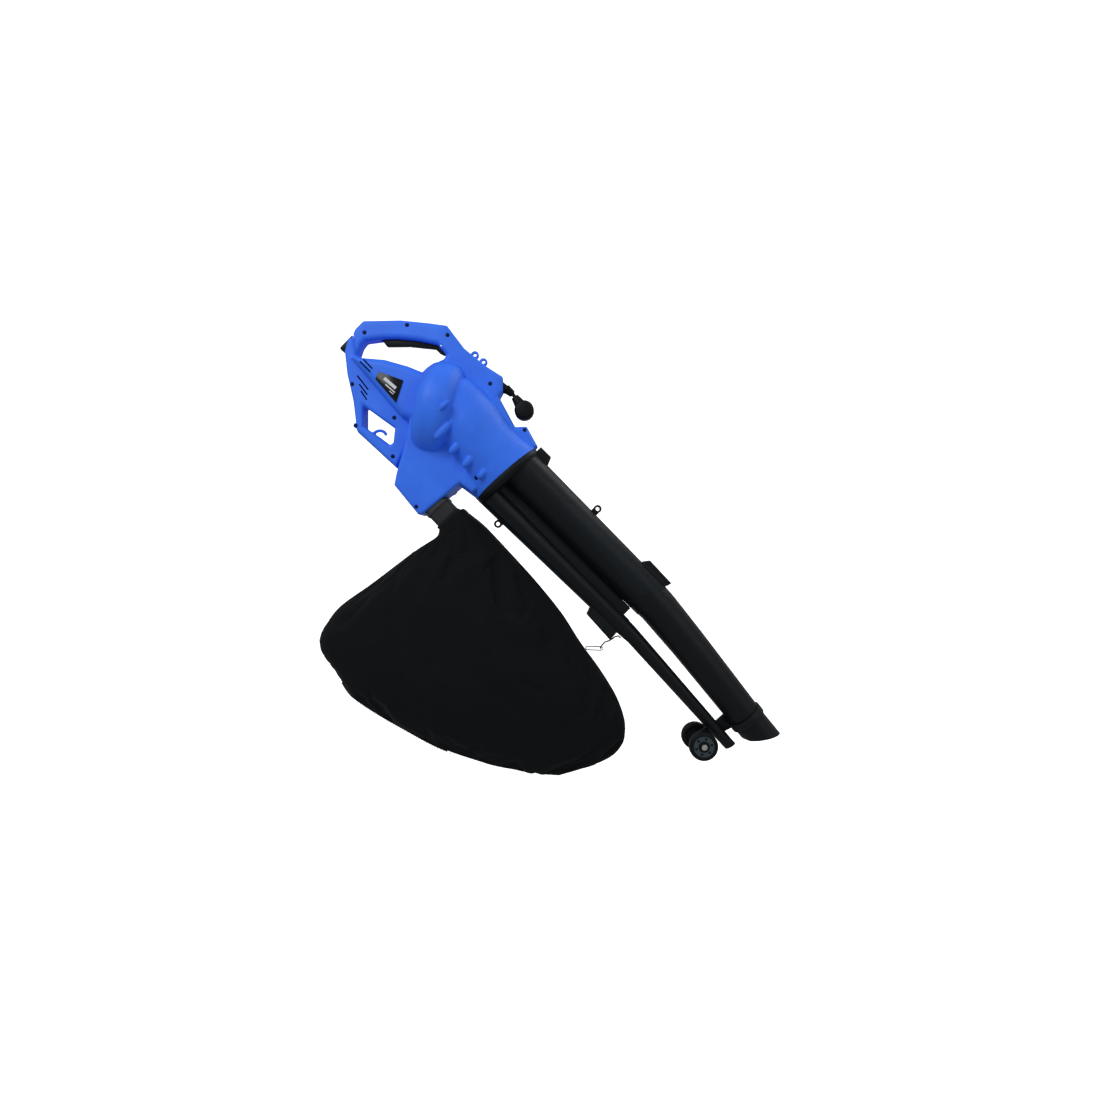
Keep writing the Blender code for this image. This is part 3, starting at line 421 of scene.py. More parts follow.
class Nodes:
    """A node tree with short ways to add and link nodes."""

    def __init__(self, name: str) -> None:
        """Start a material with one Principled shader and object coordinates.

        Args:
            name: The material's name.
        """
        self.material = bpy.data.materials.new(name)
        self.material.use_nodes = True
        self.tree = self.material.node_tree
        self.shader = self.tree.nodes["Principled BSDF"]
        self.place = self.add("ShaderNodeTexCoord").outputs["Object"]

    def add(self, kind: str, **settings: object) -> bpy.types.Node:
        """Add one node and set its properties."""
        node = self.tree.nodes.new(kind)
        for name, value in settings.items():
            setattr(node, name, value)
        return node

    def link(self, output: bpy.types.NodeSocket, target: bpy.types.NodeSocket) -> None:
        """Link an output to an input."""
        self.tree.links.new(output, target)

    def noise(self, scale: float, detail: float = 4.0, rough: float = 0.55) -> bpy.types.NodeSocket:
        """Noise on object coordinates; scale is in repeats per metre."""
        node = self.add("ShaderNodeTexNoise")
        node.inputs["Scale"].default_value = scale
        node.inputs["Detail"].default_value = detail
        node.inputs["Roughness"].default_value = rough
        self.link(self.place, node.inputs["Vector"])
        return node.outputs["Fac"]

    def ramp(self, value: bpy.types.NodeSocket, low: float, high: float, to_low: float,
             to_high: float) -> bpy.types.NodeSocket:
        """Map a value from one range to another, clamped."""
        node = self.add("ShaderNodeMapRange")
        for name, number in (("From Min", low), ("From Max", high), ("To Min", to_low), ("To Max", to_high)):
            node.inputs[name].default_value = number
        self.link(value, node.inputs["Value"])
        return node.outputs["Result"]

    def blend(self, factor: bpy.types.NodeSocket, first: object, second: object) -> bpy.types.NodeSocket:
        """Mix two colours, each a tuple or another node's output."""
        node = self.add("ShaderNodeMix", data_type="RGBA")
        self.link(factor, node.inputs[0])
        for socket, value in ((node.inputs[6], first), (node.inputs[7], second)):
            if isinstance(value, bpy.types.NodeSocket):
                self.link(value, socket)
            else:
                socket.default_value = (*value, 1.0)
        return node.outputs[2]

    def bump(self, height: bpy.types.NodeSocket, depth: float, after: bpy.types.NodeSocket | None = None,
             strength: float = 1.0) -> bpy.types.NodeSocket:
        """Raise the surface by a height of up to depth metres, over an earlier bump if given."""
        node = self.add("ShaderNodeBump")
        node.inputs["Strength"].default_value = strength
        node.inputs["Distance"].default_value = depth
        self.link(height, node.inputs["Height"])
        if after is not None:
            self.link(after, node.inputs["Normal"])
        return node.outputs["Normal"]


def shade(colour: tuple[float, float, float], factor: float) -> tuple[float, float, float]:
    """A colour made lighter or darker by a factor."""
    return tuple(min(1.0, part * factor) for part in colour)


@dataclass(frozen=True)
class MouldedPlastic:
    """A moulded plastic with a fine spark-eroded grain, faint mottling and rubbed edges."""

    name: str
    colour: tuple[float, float, float]
    roughness: float = 0.4
    grain: float = 0.00005
    coat: float = 0.0
    edge: float = 1.3
    specular: float = 0.5

    def material(self) -> bpy.types.Material:
        """Build the node material.

        Returns:
            The finished material.
        """
        nodes = Nodes(self.name)
        cloud = nodes.ramp(nodes.noise(22.0, 5.0), 0.3, 0.7, 0.0, 1.0)
        base = nodes.blend(cloud, shade(self.colour, 0.9), shade(self.colour, 1.06))
        pointiness = nodes.add("ShaderNodeNewGeometry").outputs["Pointiness"]
        rubbed = nodes.ramp(pointiness, 0.53, 0.62, 0.0, 0.6)
        base = nodes.blend(rubbed, base, shade(self.colour, self.edge))
        nodes.link(base, nodes.shader.inputs["Base Color"])
        scuffs = nodes.ramp(nodes.noise(90.0, 6.0, 0.7), 0.35, 0.75, self.roughness - 0.05,
                            self.roughness + 0.1)
        nodes.link(scuffs, nodes.shader.inputs["Roughness"])
        grain = nodes.bump(nodes.noise(1500.0, 2.0), self.grain)
        nodes.link(nodes.bump(nodes.noise(14.0, 2.0), 0.0004, grain, 0.35), nodes.shader.inputs["Normal"])
        nodes.shader.inputs["Specular IOR Level"].default_value = self.specular
        nodes.shader.inputs["Coat Weight"].default_value = self.coat
        nodes.shader.inputs["Coat Roughness"].default_value = 0.25
        return nodes.material


@dataclass(frozen=True)
class BareMetal:
    """A machined or drawn metal with fine scratches."""

    name: str
    colour: tuple[float, float, float]
    roughness: float = 0.3

    def material(self) -> bpy.types.Material:
        """Build the node material.

        Returns:
            The finished material.
        """
        nodes = Nodes(self.name)
        worn = nodes.ramp(nodes.noise(300.0, 4.0), 0.3, 0.7, 0.0, 1.0)
        nodes.link(nodes.blend(worn, shade(self.colour, 0.8), self.colour), nodes.shader.inputs["Base Color"])
        nodes.link(nodes.ramp(nodes.noise(700.0, 3.0), 0.3, 0.7, self.roughness - 0.08,
                              self.roughness + 0.12),
                   nodes.shader.inputs["Roughness"])
        nodes.link(nodes.bump(nodes.noise(2400.0, 2.0), 0.00002), nodes.shader.inputs["Normal"])
        nodes.shader.inputs["Metallic"].default_value = 1.0
        return nodes.material


@dataclass(frozen=True)
class WovenCloth:
    """A coarse woven polyester with a raised thread pattern and a soft sheen."""

    name: str
    colour: tuple[float, float, float]
    threads: float = 900.0
    depth: float = 0.0003
    roughness: float = 0.82

    def material(self) -> bpy.types.Material:
        """Build the node material.

        Returns:
            The finished material.
        """
        nodes = Nodes(self.name)
        waves = []
        for direction in ("X", "Z"):
            wave = nodes.add("ShaderNodeTexWave", bands_direction=direction)
            wave.inputs["Scale"].default_value = self.threads / 20.0 * math.pi
            wave.inputs["Distortion"].default_value = 0.6
            wave.inputs["Detail"].default_value = 1.0
            nodes.link(nodes.place, wave.inputs["Vector"])
            waves.append(wave.outputs["Fac"])
        weave = nodes.add("ShaderNodeMath", operation="MULTIPLY")
        nodes.link(waves[0], weave.inputs[0])
        nodes.link(waves[1], weave.inputs[1])
        slubs = nodes.ramp(nodes.noise(420.0, 3.0, 0.7), 0.35, 0.7, 0.0, 1.0)
        patches = nodes.ramp(nodes.noise(9.0, 4.0), 0.3, 0.7, 0.0, 1.0)
        base = nodes.blend(patches, shade(self.colour, 0.8), shade(self.colour, 1.15))
        base = nodes.blend(slubs, base, shade(self.colour, 1.9))
        nodes.link(base, nodes.shader.inputs["Base Color"])
        threads = nodes.bump(weave.outputs[0], self.depth, None, 0.8)
        nodes.link(nodes.bump(nodes.noise(420.0, 3.0, 0.7), self.depth * 1.6, threads, 0.7),
                   nodes.shader.inputs["Normal"])
        nodes.shader.inputs["Roughness"].default_value = self.roughness
        nodes.shader.inputs["Sheen Weight"].default_value = 0.02
        nodes.shader.inputs["Sheen Roughness"].default_value = 0.5
        nodes.shader.inputs["Sheen Tint"].default_value = (0.6, 0.7, 0.9, 1.0)
        nodes.shader.inputs["Specular IOR Level"].default_value = 0.12
        return nodes.material


@dataclass(frozen=True)
class Finishes:
    """Every finish on the machine, made once."""

    blue: bpy.types.Material
    black: bpy.types.Material
    gloss: bpy.types.Material
    dull: bpy.types.Material
    rubber: bpy.types.Material
    grey: bpy.types.Material
    cloth: bpy.types.Material
    charcoal: bpy.types.Material
    webbing: bpy.types.Material
    steel: bpy.types.Material
    dark_steel: bpy.types.Material
    copper: bpy.types.Material
    brass: bpy.types.Material
    print_white: bpy.types.Material


def make_finishes() -> Finishes:
    """Make every finish.

    Returns:
        The finishes, ready to be assigned.
    """
    return Finishes(
        blue=MouldedPlastic("blue_plastic", (0.040, 0.185, 0.98), 0.46, 0.00003, 0.0, 1.5, 0.22).material(),
        black=MouldedPlastic("black_plastic", (0.0042, 0.0062, 0.008), 0.42, 0.00006, 0.0, 2.2,
                             0.17).material(),
        gloss=MouldedPlastic("glossy_black", (0.003, 0.0035, 0.004), 0.2, 0.00001, 0.0, 1.6, 0.25).material(),
        dull=MouldedPlastic("dull_black", (0.006, 0.008, 0.0095), 0.6, 0.00006, 0.0, 1.8, 0.15).material(),
        rubber=MouldedPlastic("cord_rubber", (0.0035, 0.0042, 0.005), 0.5, 0.00003, 0.0, 1.5,
                              0.15).material(),
        grey=MouldedPlastic("grey_plastic", (0.032, 0.048, 0.06), 0.45, 0.00006, 0.0, 1.4, 0.3).material(),
        cloth=WovenCloth("bag_cloth", (0.0030, 0.0036, 0.0042)).material(),
        charcoal=MouldedPlastic("charcoal_plastic", (0.026, 0.029, 0.032), 0.5, 0.00005, 0.0, 1.6,
                                0.25).material(),
        webbing=WovenCloth("webbing", (0.006, 0.007, 0.008), 1400.0, 0.0002, 0.75).material(),
        steel=BareMetal("steel", (0.62, 0.63, 0.65), 0.3).material(),
        dark_steel=BareMetal("dark_steel", (0.09, 0.09, 0.1), 0.4).material(),
        copper=BareMetal("copper", (0.75, 0.36, 0.18), 0.35).material(),
        brass=BareMetal("brass", (0.75, 0.58, 0.28), 0.3).material(),
        print_white=MouldedPlastic("printed_mark", (0.6, 0.63, 0.65), 0.4, 0.00001).material(),
    )


def dress(item: bpy.types.Object, finish: bpy.types.Material) -> None:
    """Give an object one finish all over."""
    item.data.materials.clear()
    item.data.materials.append(finish)


def mount(item: bpy.types.Object, body: str, finish: bpy.types.Material,
          stands_for: tuple[str, ...] = ()) -> bpy.types.Object:
    """Dress a finished piece, hang it on its body and hide the nodes that it replaces.

    Args:
        item: The finished piece, at the origin.
        body: The body that it moves with.
        finish: Its material.
        stands_for: The nodes that it replaces.

    Returns:
        The piece.
    """
    dress(item, finish)
    if stands_for:
        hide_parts(*stands_for)
    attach(item, body)
    LOG.info("piece %s on %s, %d faces", item.name, body, len(item.data.polygons))
    return item


def refine(node: str, finish: bpy.types.Material, bevel: float = 0.35, angle: float = 34.0,
           name: str = "") -> bpy.types.Object:
    """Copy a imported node, merge it, round its edges a little and let the copy stand for it.

    Args:
        node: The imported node.
        finish: The material of the copy.
        bevel: Radius of the rounded edges in millimetres, or 0 for none.
        angle: Edges above this angle stay crisp and get the rounding.
        name: The new piece's name.

    Returns:
        The refined piece.
    """
    source = frame["nodes"][node]
    item = bpy.data.objects.new(name or f"{node}_shell", source.data.copy())
    bpy.context.scene.collection.objects.link(item)
    open_edit(item)
    bpy.ops.mesh.remove_doubles(threshold=2e-6)
    bpy.ops.mesh.dissolve_limited(angle_limit=math.radians(0.6))
    close_edit()
    if bevel:
        modifier = item.modifiers.new("edge", "BEVEL")
        modifier.width = bevel * MM
        modifier.segments = 2
        modifier.limit_method = "ANGLE"
        modifier.angle_limit = math.radians(angle)
        modifier.use_clamp_overlap = True
        modifier.harden_normals = False
        apply_all(item)
    smooth_by(item, angle)
    return mount(item, source["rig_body"], finish, (node,))


# ---------------------------------------------------------------- sub-assemblies


@dataclass
class Housing:
    """The blue clamshell: looped handle, motor body, fan scroll, elbow and outlet duct, with its screws."""

    finishes: Finishes
    voxel: float = 1.45
    seam_gap: float = 0.3
    grip_half: float = 18.5
    frame_half: float = 23.0
    body_half: float = 42.0
    outlet_half: float = 38.0
    wall: float = 2.6
    fan_axis: Vector = field(default_factory=lambda: Vector((0.970, 0.0, -0.242)))
    fan_centre: Vector = field(default_factory=lambda: Vector((70.0, 0.0, -154.0)))
    scroll_radius: float = 96.0
    scroll_half: float = 38.0
    silhouette: Outline = (
        (-116, -40), (-96, 6), (-80, 22), (-6, 23.5), (50, 18), (86, 13), (120, -32), (164, -68), (196, -88),
        (197, -117), (190, -130), (221, -188), (244, -187), (265.8, -226.6), (146, -331.4), (112, -306),
        (66, -280),
        (0, -262), (-14, -270), (-92, -198), (-99, -138), (-111, -85),
    )
    rear_frame: Outline = (
        (-115, -40), (-108, -14), (-96, -14), (-92, -48), (-78, -56), (-20, -80), (20, -150), (12, -222),
        (-13, -269), (-91, -197), (-98, -138), (-110, -85),
    )
    hand_opening: Outline = (
        (-76, -18), (-42, -13.5), (-10, -13), (28, -17), (67, -25), (80, -40), (84, -46), (80, -53),
        (70, -58), (59, -61), (46, -70), (35, -81), (13, -73), (-10, -66), (-33, -59), (-56, -55),
        (-84, -52), (-91, -48), (-84, -28),
    )
    loop_opening: Outline = ((-78, -147), (-16, -192), (-19, -220), (-26, -225), (-51, -206), (-78, -188))
    motor_body: Outline = ((-100, -54.5), (-33, -60), (13, -73), (40, -84), (70, -90), (60, -195), (0, -172))
    outlet_body: Outline = (
        (22, -140), (8, -222), (-9, -281), (-14, -305), (33, -363), (42, -362), (114, -302), (138, -320),
        (150, -312), (150, -270), (100, -200),
    )
    outlet_void: Outline = (
        (26, -150), (12, -222), (-6, -281), (-10, -304), (34, -356), (104, -298), (78, -268), (52, -205),
    )
    grip_void: Outline = (
        (-104, -24), (-92, 6), (-82, 16), (-40, 19), (-6, 20.5), (50, 15), (82, 11), (94, -4), (66, -21),
        (28, -13.5), (-10, -9.5), (-42, -10), (-78, -14), (-87, -27), (-95, -50), (-108, -52),
    )
    nose_void: Outline = (
        (92, -14), (112, -34), (186, -92), (188, -112), (166, -104), (128, -66), (100, -48), (80, -14),
    )
    trigger_slot: Outline = (
        (-47, -5.3), (-47, -20), (40, -45), (87, -57), (89, -33), (73, -11.5), (28, -7.2),
    )
    lever_slot: Outline = ((-84, -2), (-100, 8), (-140, -30), (-118, -52), (-98, -34))
    vents: tuple[tuple[tuple[float, float], tuple[float, float], float], ...] = (
        ((-73, -61), (-54, -81), 48.0), ((-79, -66), (-58, -87), 48.0), ((-89, -89), (-67, -117), 48.0),
        ((-85, -106), (-69, -127), 48.0), ((-82, -119), (-70, -137), 48.0),
    )
    pads: tuple[tuple[float, float, float, float], ...] = (
        (88.0, -205.0, 46.0, 17.0), (109.0, -235.0, 34.0, 17.0), (134.0, -261.0, 34.0, 17.0),
        (160.0, -286.0, 25.0, 15.0), (93.0, -163.0, 26.0, 10.0),
    )
    screws: tuple[tuple[str, float], ...] = (
        ("screw_grip_rear", 18.5), ("screw_grip_front", 18.5), ("screw_grip_top", 18.5), ("screw_post", 23.0),
        ("screw_loop_rear", 23.0), ("screw_loop_inner", 23.0), ("screw_loop_front", 23.0),
        ("screw_outlet_low", 38.0), ("screw_louvre_high", 38.0), ("screw_louvre_low", 38.0),
        ("screw_nose", 18.5), ("screw_collar", 18.5),
    )

    def along(self, distance: float, lift: float = 0.0) -> Vector:
        """A point on the fan axis, forward of the fan centre and lifted square to the axis."""
        up = Vector((-self.fan_axis.z, 0.0, self.fan_axis.x))
        return self.fan_centre + self.fan_axis * distance + up * lift

    def scroll(self, radius: float, half: float, fillet: float) -> bpy.types.Object:
        """The round drum around the fan, with well rounded rims.

        Args:
            radius: Outer radius in millimetres.
            half: Half its depth along the fan axis.
            fillet: Radius of the rims.

        Returns:
            The closed solid.
        """
        arc = [(radius - fillet + fillet * math.cos(a), half - fillet + fillet * math.sin(a))
               for a in (math.pi / 2 * (1 - i / 7) for i in range(8))]
        profile = [(0.0, half), *arc, *((r, -h) for r, h in reversed(arc)), (0.0, -half)]
        return turned("scroll", profile, self.fan_centre, self.fan_axis, 72)

    def elbow(self, inset: float, extend: float) -> bpy.types.Object:
        """The cone that leads from the fan down to the collar of the tubes.

        Args:
            inset: How far its wall is moved inwards.
            extend: How far it runs past the collar.

        Returns:
            The closed solid.
        """
        stops = (
            (84.0, -157.0, -14.0, 74.0, 72.0), (107.0, -166.8, -17.0, 79.0, 76.0),
            (126.3, -184.2, -24.0, 77.0, 77.0),
            (146.2, -206.0, -33.0, 72.0, 76.0), (165.0, -234.0, -41.0, 70.0, 69.0),
            (182.0, -256.5, -47.0, 72.0, 63.0),
            (203.0 + extend * 0.659, -281.6 - extend * 0.753, -48.8, 78.0, 60.0),
        )
        rings = []
        for x, z, degrees, across, half in stops:
            angle = math.radians(degrees)
            axis = Vector((math.cos(angle), 0.0, math.sin(angle)))
            rings.append((Vector((x, 0.0, z)), axis, across - inset, half - inset))
        return loft("elbow", rings, 72)

    def screw_place(self, name: str) -> tuple[float, float]:
        """The X and Z of a screw in millimetres, from its node."""
        low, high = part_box(name)
        return (low.x + high.x) / 2.0 / MM, (low.z + high.z) / 2.0 / MM

    def outside(self) -> bpy.types.Object:
        """The outer skin as one closed solid with softened junctions.

        Returns:
            The remeshed solid.
        """
        forms = [
            plate("outside", self.silhouette, self.grip_half, 9.0,
                  (self.hand_opening, self.loop_opening), rounds=5),
            plate("rear", self.rear_frame, self.frame_half, 6.0, (self.loop_opening,), rounds=4),
            plate("body", self.motor_body, self.body_half, 15.0, rounds=6),
            plate("outlet", self.outlet_body, self.outlet_half, 6.0, rounds=4),
            self.scroll(self.scroll_radius, self.scroll_half, 32.0),
            self.elbow(0.0, 0.0),
            swept("hook", rounded_path([Vector(p) for p in (
                (-66, 0, -206), (-62, 0, -199), (-57, 0, -195), (-50, 0, -193.5), (-43, 0, -195),
                (-39, 0, -199),
                (-38, 0, -203))]), 3.2),
        ]
        for x, z in ((140.0, -43.0), (157.0, -57.0)):
            forms.append(bar("eyelet", Vector((x, -4.0, z)), Vector((x, 4.0, z)), 8.2))
        skin = join_meshes(forms, "housing_skin")
        skin = join_meshes([skin, *self.louvres(skin)], "housing_skin")
        skin.data.remesh_voxel_size = self.voxel * MM
        skin.data.remesh_voxel_adaptivity = 0.0
        activate(skin)
        bpy.ops.object.voxel_remesh()
        soften = skin.modifiers.new("soften", "SMOOTH")
        soften.factor = 0.5
        soften.iterations = 7
        apply_all(skin)
        return skin

    def louvres(self, skin: bpy.types.Object) -> list[bpy.types.Object]:
        """The row of raised pads between the outlet panel and the elbow, set on the skin on both sides.

        Args:
            skin: The joined outer forms that carry them.

        Returns:
            Closed solids that stand on the skin.
        """
        tree = BVHTree.FromObject(skin, bpy.context.evaluated_depsgraph_get())
        pads = []
        for x, z, length, width in self.pads:
            for side in (-1.0, 1.0):
                start = Vector((x * MM, side * 0.2, z * MM))
                hit = tree.ray_cast(start, Vector((0.0, -side, 0.0)))[0]
                if hit is None:
                    continue
                clear_selection()
                bpy.ops.mesh.primitive_uv_sphere_add(segments=24, ring_count=12, radius=1.0)
                pad = bpy.context.object
                pad.name = "pad"
                turn = Matrix.Rotation(math.radians(-47.0), 4, "Y")
                size = Matrix.Diagonal((length / 2.0 * MM, 8.0 * MM, width / 2.0 * MM, 1.0))
                pad.data.transform(Matrix.Translation(hit) @ turn @ size)
                pads.append(pad)
        return pads

    def inside(self) -> bpy.types.Object:
        """The hollow of the housing as one closed solid.

        Returns:
            The solid to cut away.
        """
        hollow = plate("grip_void", self.grip_void, self.grip_half - self.wall)
        parts = [
            plate("rear_void", self.rear_frame, self.frame_half - self.wall, 0.0, (self.grown_loop(),),
                  inset=self.wall),
            plate("body_void", self.motor_body, self.body_half - self.wall, 9.0, inset=self.wall + 2.0),
            plate("outlet_void", self.outlet_void, self.outlet_half - self.wall, 3.0),
            plate("nose_void", self.nose_void, self.grip_half - self.wall - 2.0),
            self.scroll(self.scroll_radius - self.wall, self.scroll_half - self.wall, 30.0),
            self.elbow(self.wall, 20.0),
        ]
        return carve(hollow, parts, Operation.ADD)

    def grown_loop(self) -> Outline:
        """The outline of the hook frame's opening, moved outwards by the wall."""
        cx = sum(x for x, _ in self.loop_opening) / len(self.loop_opening)
        cz = sum(z for _, z in self.loop_opening) / len(self.loop_opening)
        grown = []
        for x, z in self.loop_opening:
            run = math.hypot(x - cx, z - cz)
            share = (run + self.wall * 1.4) / run
            grown.append((cx + (x - cx) * share, cz + (z - cz) * share))
        return tuple(grown)

    def cutters(self) -> list[bpy.types.Object]:
        """Everything that is cut through the wall: bores, vents, slots and the outlet mouth.

        Returns:
            Closed solids, grouped where they lie apart.
        """
        bores = []
        for name, half in self.screws:
            x, z = self.screw_place(name)
            profile = [(4.6, half + 9.0), (4.6, half - 0.4), (4.0, half - 1.0), (4.0, half - 4.0),
                       (2.0, half - 4.01), (2.0, -half + 6.0)]
            bores.append(turned("screw_bore", profile, Vector((x, 0.0, z)), Vector((0.0, -1.0, 0.0)), 24))
        bores.append(bar("flap_bore", Vector((86.0, -37.0, -306.0)), Vector((86.0, 60.0, -306.0)), 4.3))
        bores.append(bar("cord_bore", Vector((163.4, 0.0, -80.0)), Vector((214.8, 0.0, -119.9)), 7.9))
        for x, z in ((140.0, -43.0), (157.0, -57.0)):
            bores.append(bar("eye", Vector((x, -12.0, z)), Vector((x, 12.0, z)), 3.8))
        for start, end, reach in self.vents:
            a, b = Vector(start), Vector(end)
            side = Vector((a.y - b.y, b.x - a.x)).normalized() * 1.5
            ring = [a + side, b + side, b - side, a - side]
            bores.append(plate("vent", tuple((p.x, p.y) for p in ring), reach))
        outlet, out = Vector((64.0, 0.0, -343.0)), Vector((0.690, 0.0, -0.724))
        mouth = [(outlet + out * d, out, 25.3, 33.3) for d in (-30.0, 30.0)]
        return [
            join_meshes(bores, "bores"),
            loft("mouth", mouth, 32, 7.0),
            plate("trigger_slot", self.trigger_slot, 6.6),
            plate("lever_slot", self.lever_slot, 6.0),
        ]

    def shell(self) -> None:
        """Make both halves of the clamshell and hang them on the machine."""
        skin = self.outside()
        carve(skin, [self.inside()], Operation.CUT)
        bosses = []
        for name, half in self.screws:
            x, z = self.screw_place(name)
            reach = half - self.wall + 0.9
            bosses.append(bar("boss", Vector((x, -reach, z)), Vector((x, reach, z)), 5.0, steps=20))
        carve(skin, [join_meshes(bosses, "bosses")], Operation.ADD)
        carve(skin, self.cutters(), Operation.CUT)
        wide = 900.0
        for side, node in ((Side.RIGHT, "housing_right"), (Side.LEFT, "housing_left")):
            half = bpy.data.objects.new(f"{node}_shell", skin.data.copy())
            bpy.context.scene.collection.objects.link(half)
            rest = Vector((60.0, -side.value * (wide / 2.0 - self.seam_gap / 2.0), -140.0))
            carve(half, [block("rest", rest, (wide, wide, wide))], Operation.CUT)
            smooth_by(half, 38.0)
            mount(half, "blower", self.finishes.blue, (node,))
        bpy.data.objects.remove(skin)

    def badge(self) -> None:
        """The dark plate on the motor body, with plain printed bars in place of lettering."""
        refine("name_plate", self.finishes.gloss, 0.3, 30.0)
        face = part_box("name_plate")[0].y / MM
        marks = []
        along = Vector((0.754, 0.0, -0.656))
        down = Vector((-0.656, 0.0, -0.754))
        middle = Vector((-21.5, face - 0.1, -113.5))
        rows = ((-4.5, -1.0, 30.0, 6.0), (3.0, 6.0, 24.0, 2.4), (7.5, 13.0, 10.0, 1.6))
        for shift, lead, length, height in rows:
            spot = middle + down * shift + along * lead
            marks.append(block("mark", spot, (height, 0.5, length), along, 0.12))
        mount(join_meshes(marks, "badge_bars"), "blower", self.finishes.print_white)

    def build(self) -> None:
        """Build the shell, its screws and its badge."""
        self.shell()
        for name, _ in self.screws:
            self.screw(name)
        self.badge()

    def screw(self, name: str) -> None:
        """Dress one screw: a refined copy with a cross recess in its head."""
        piece = refine(name, self.finishes.dull, 0.0, 40.0)
        low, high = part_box(name)
        centre = Vector(((low.x + high.x) / 2.0, low.y, (low.z + high.z) / 2.0)) / MM
        for size in ((3.4, 1.4, 0.8), (0.8, 1.4, 3.4)):
            carve(piece, [block("cross", centre, size)], Operation.CUT)


@dataclass
class Controls:
    """The trigger, the speed lever, their pins and what they work inside the handle."""

    finishes: Finishes

    def build(self) -> None:
        """Dress every control."""
        refine("trigger", self.finishes.black, 1.0)
        refine("speed_lever", self.finishes.black, 0.9)
        for node in ("trigger_pin", "speed_lever_pin"):
            refine(node, self.finishes.steel, 0.2)
        refine("trigger_spring", self.finishes.steel, 0.0, 60.0)
        for node in ("power_switch", "speed_controller"):
            refine(node, self.finishes.dull, 0.5)
        self.ribs()

    def ribs(self) -> None:
        """Finger ribs across the underside of the trigger."""
        low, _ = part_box("trigger")
        bars = []
        for i in range(7):
            spot = Vector((-26.0 + 5.2 * i, 0.0, low.z / MM + 18.3))
            bars.append(block("rib", spot, (1.4, 8.6, 0.8), None, 0.3))
        mount(join_meshes(bars, "trigger_ribs"), "trigger", self.finishes.black)


@dataclass
class Drive:
    """Everything that turns inside the housing, and what carries it."""

    finishes: Finishes

    def build(self) -> None:
        """Dress the motor, the fan and their fixings."""
        for node, finish, slot in (
            ("motor_mount", self.finishes.dull, "black_plastic"), ("motor_stator", self.finishes.steel, "steel"),
            ("motor_shaft", self.finishes.steel, "steel"), ("armature", self.finishes.copper, "copper"),
            ("commutator", self.finishes.copper, "copper"), ("bearing_front", self.finishes.steel, "steel"),
            ("bearing_rear", self.finishes.steel, "steel"), ("brush_holder_left", self.finishes.brass, "copper"),
            ("brush_holder_right", self.finishes.brass, "copper"), ("impeller", self.finishes.grey, "fan_plastic"),
            ("impeller_nut", self.finishes.steel, "steel"),
        ):
            refine(node, finish, 0.3)


@dataclass
class ModeSelector:
    """The flap that sends the air to the bag or to the tubes, and its knob."""

    finishes: Finishes

    def build(self) -> None:
        """Dress the flap and the knob."""
        refine("mode_flap", self.finishes.black, 0.4)
        refine("mode_knob", self.finishes.black, 0.6)


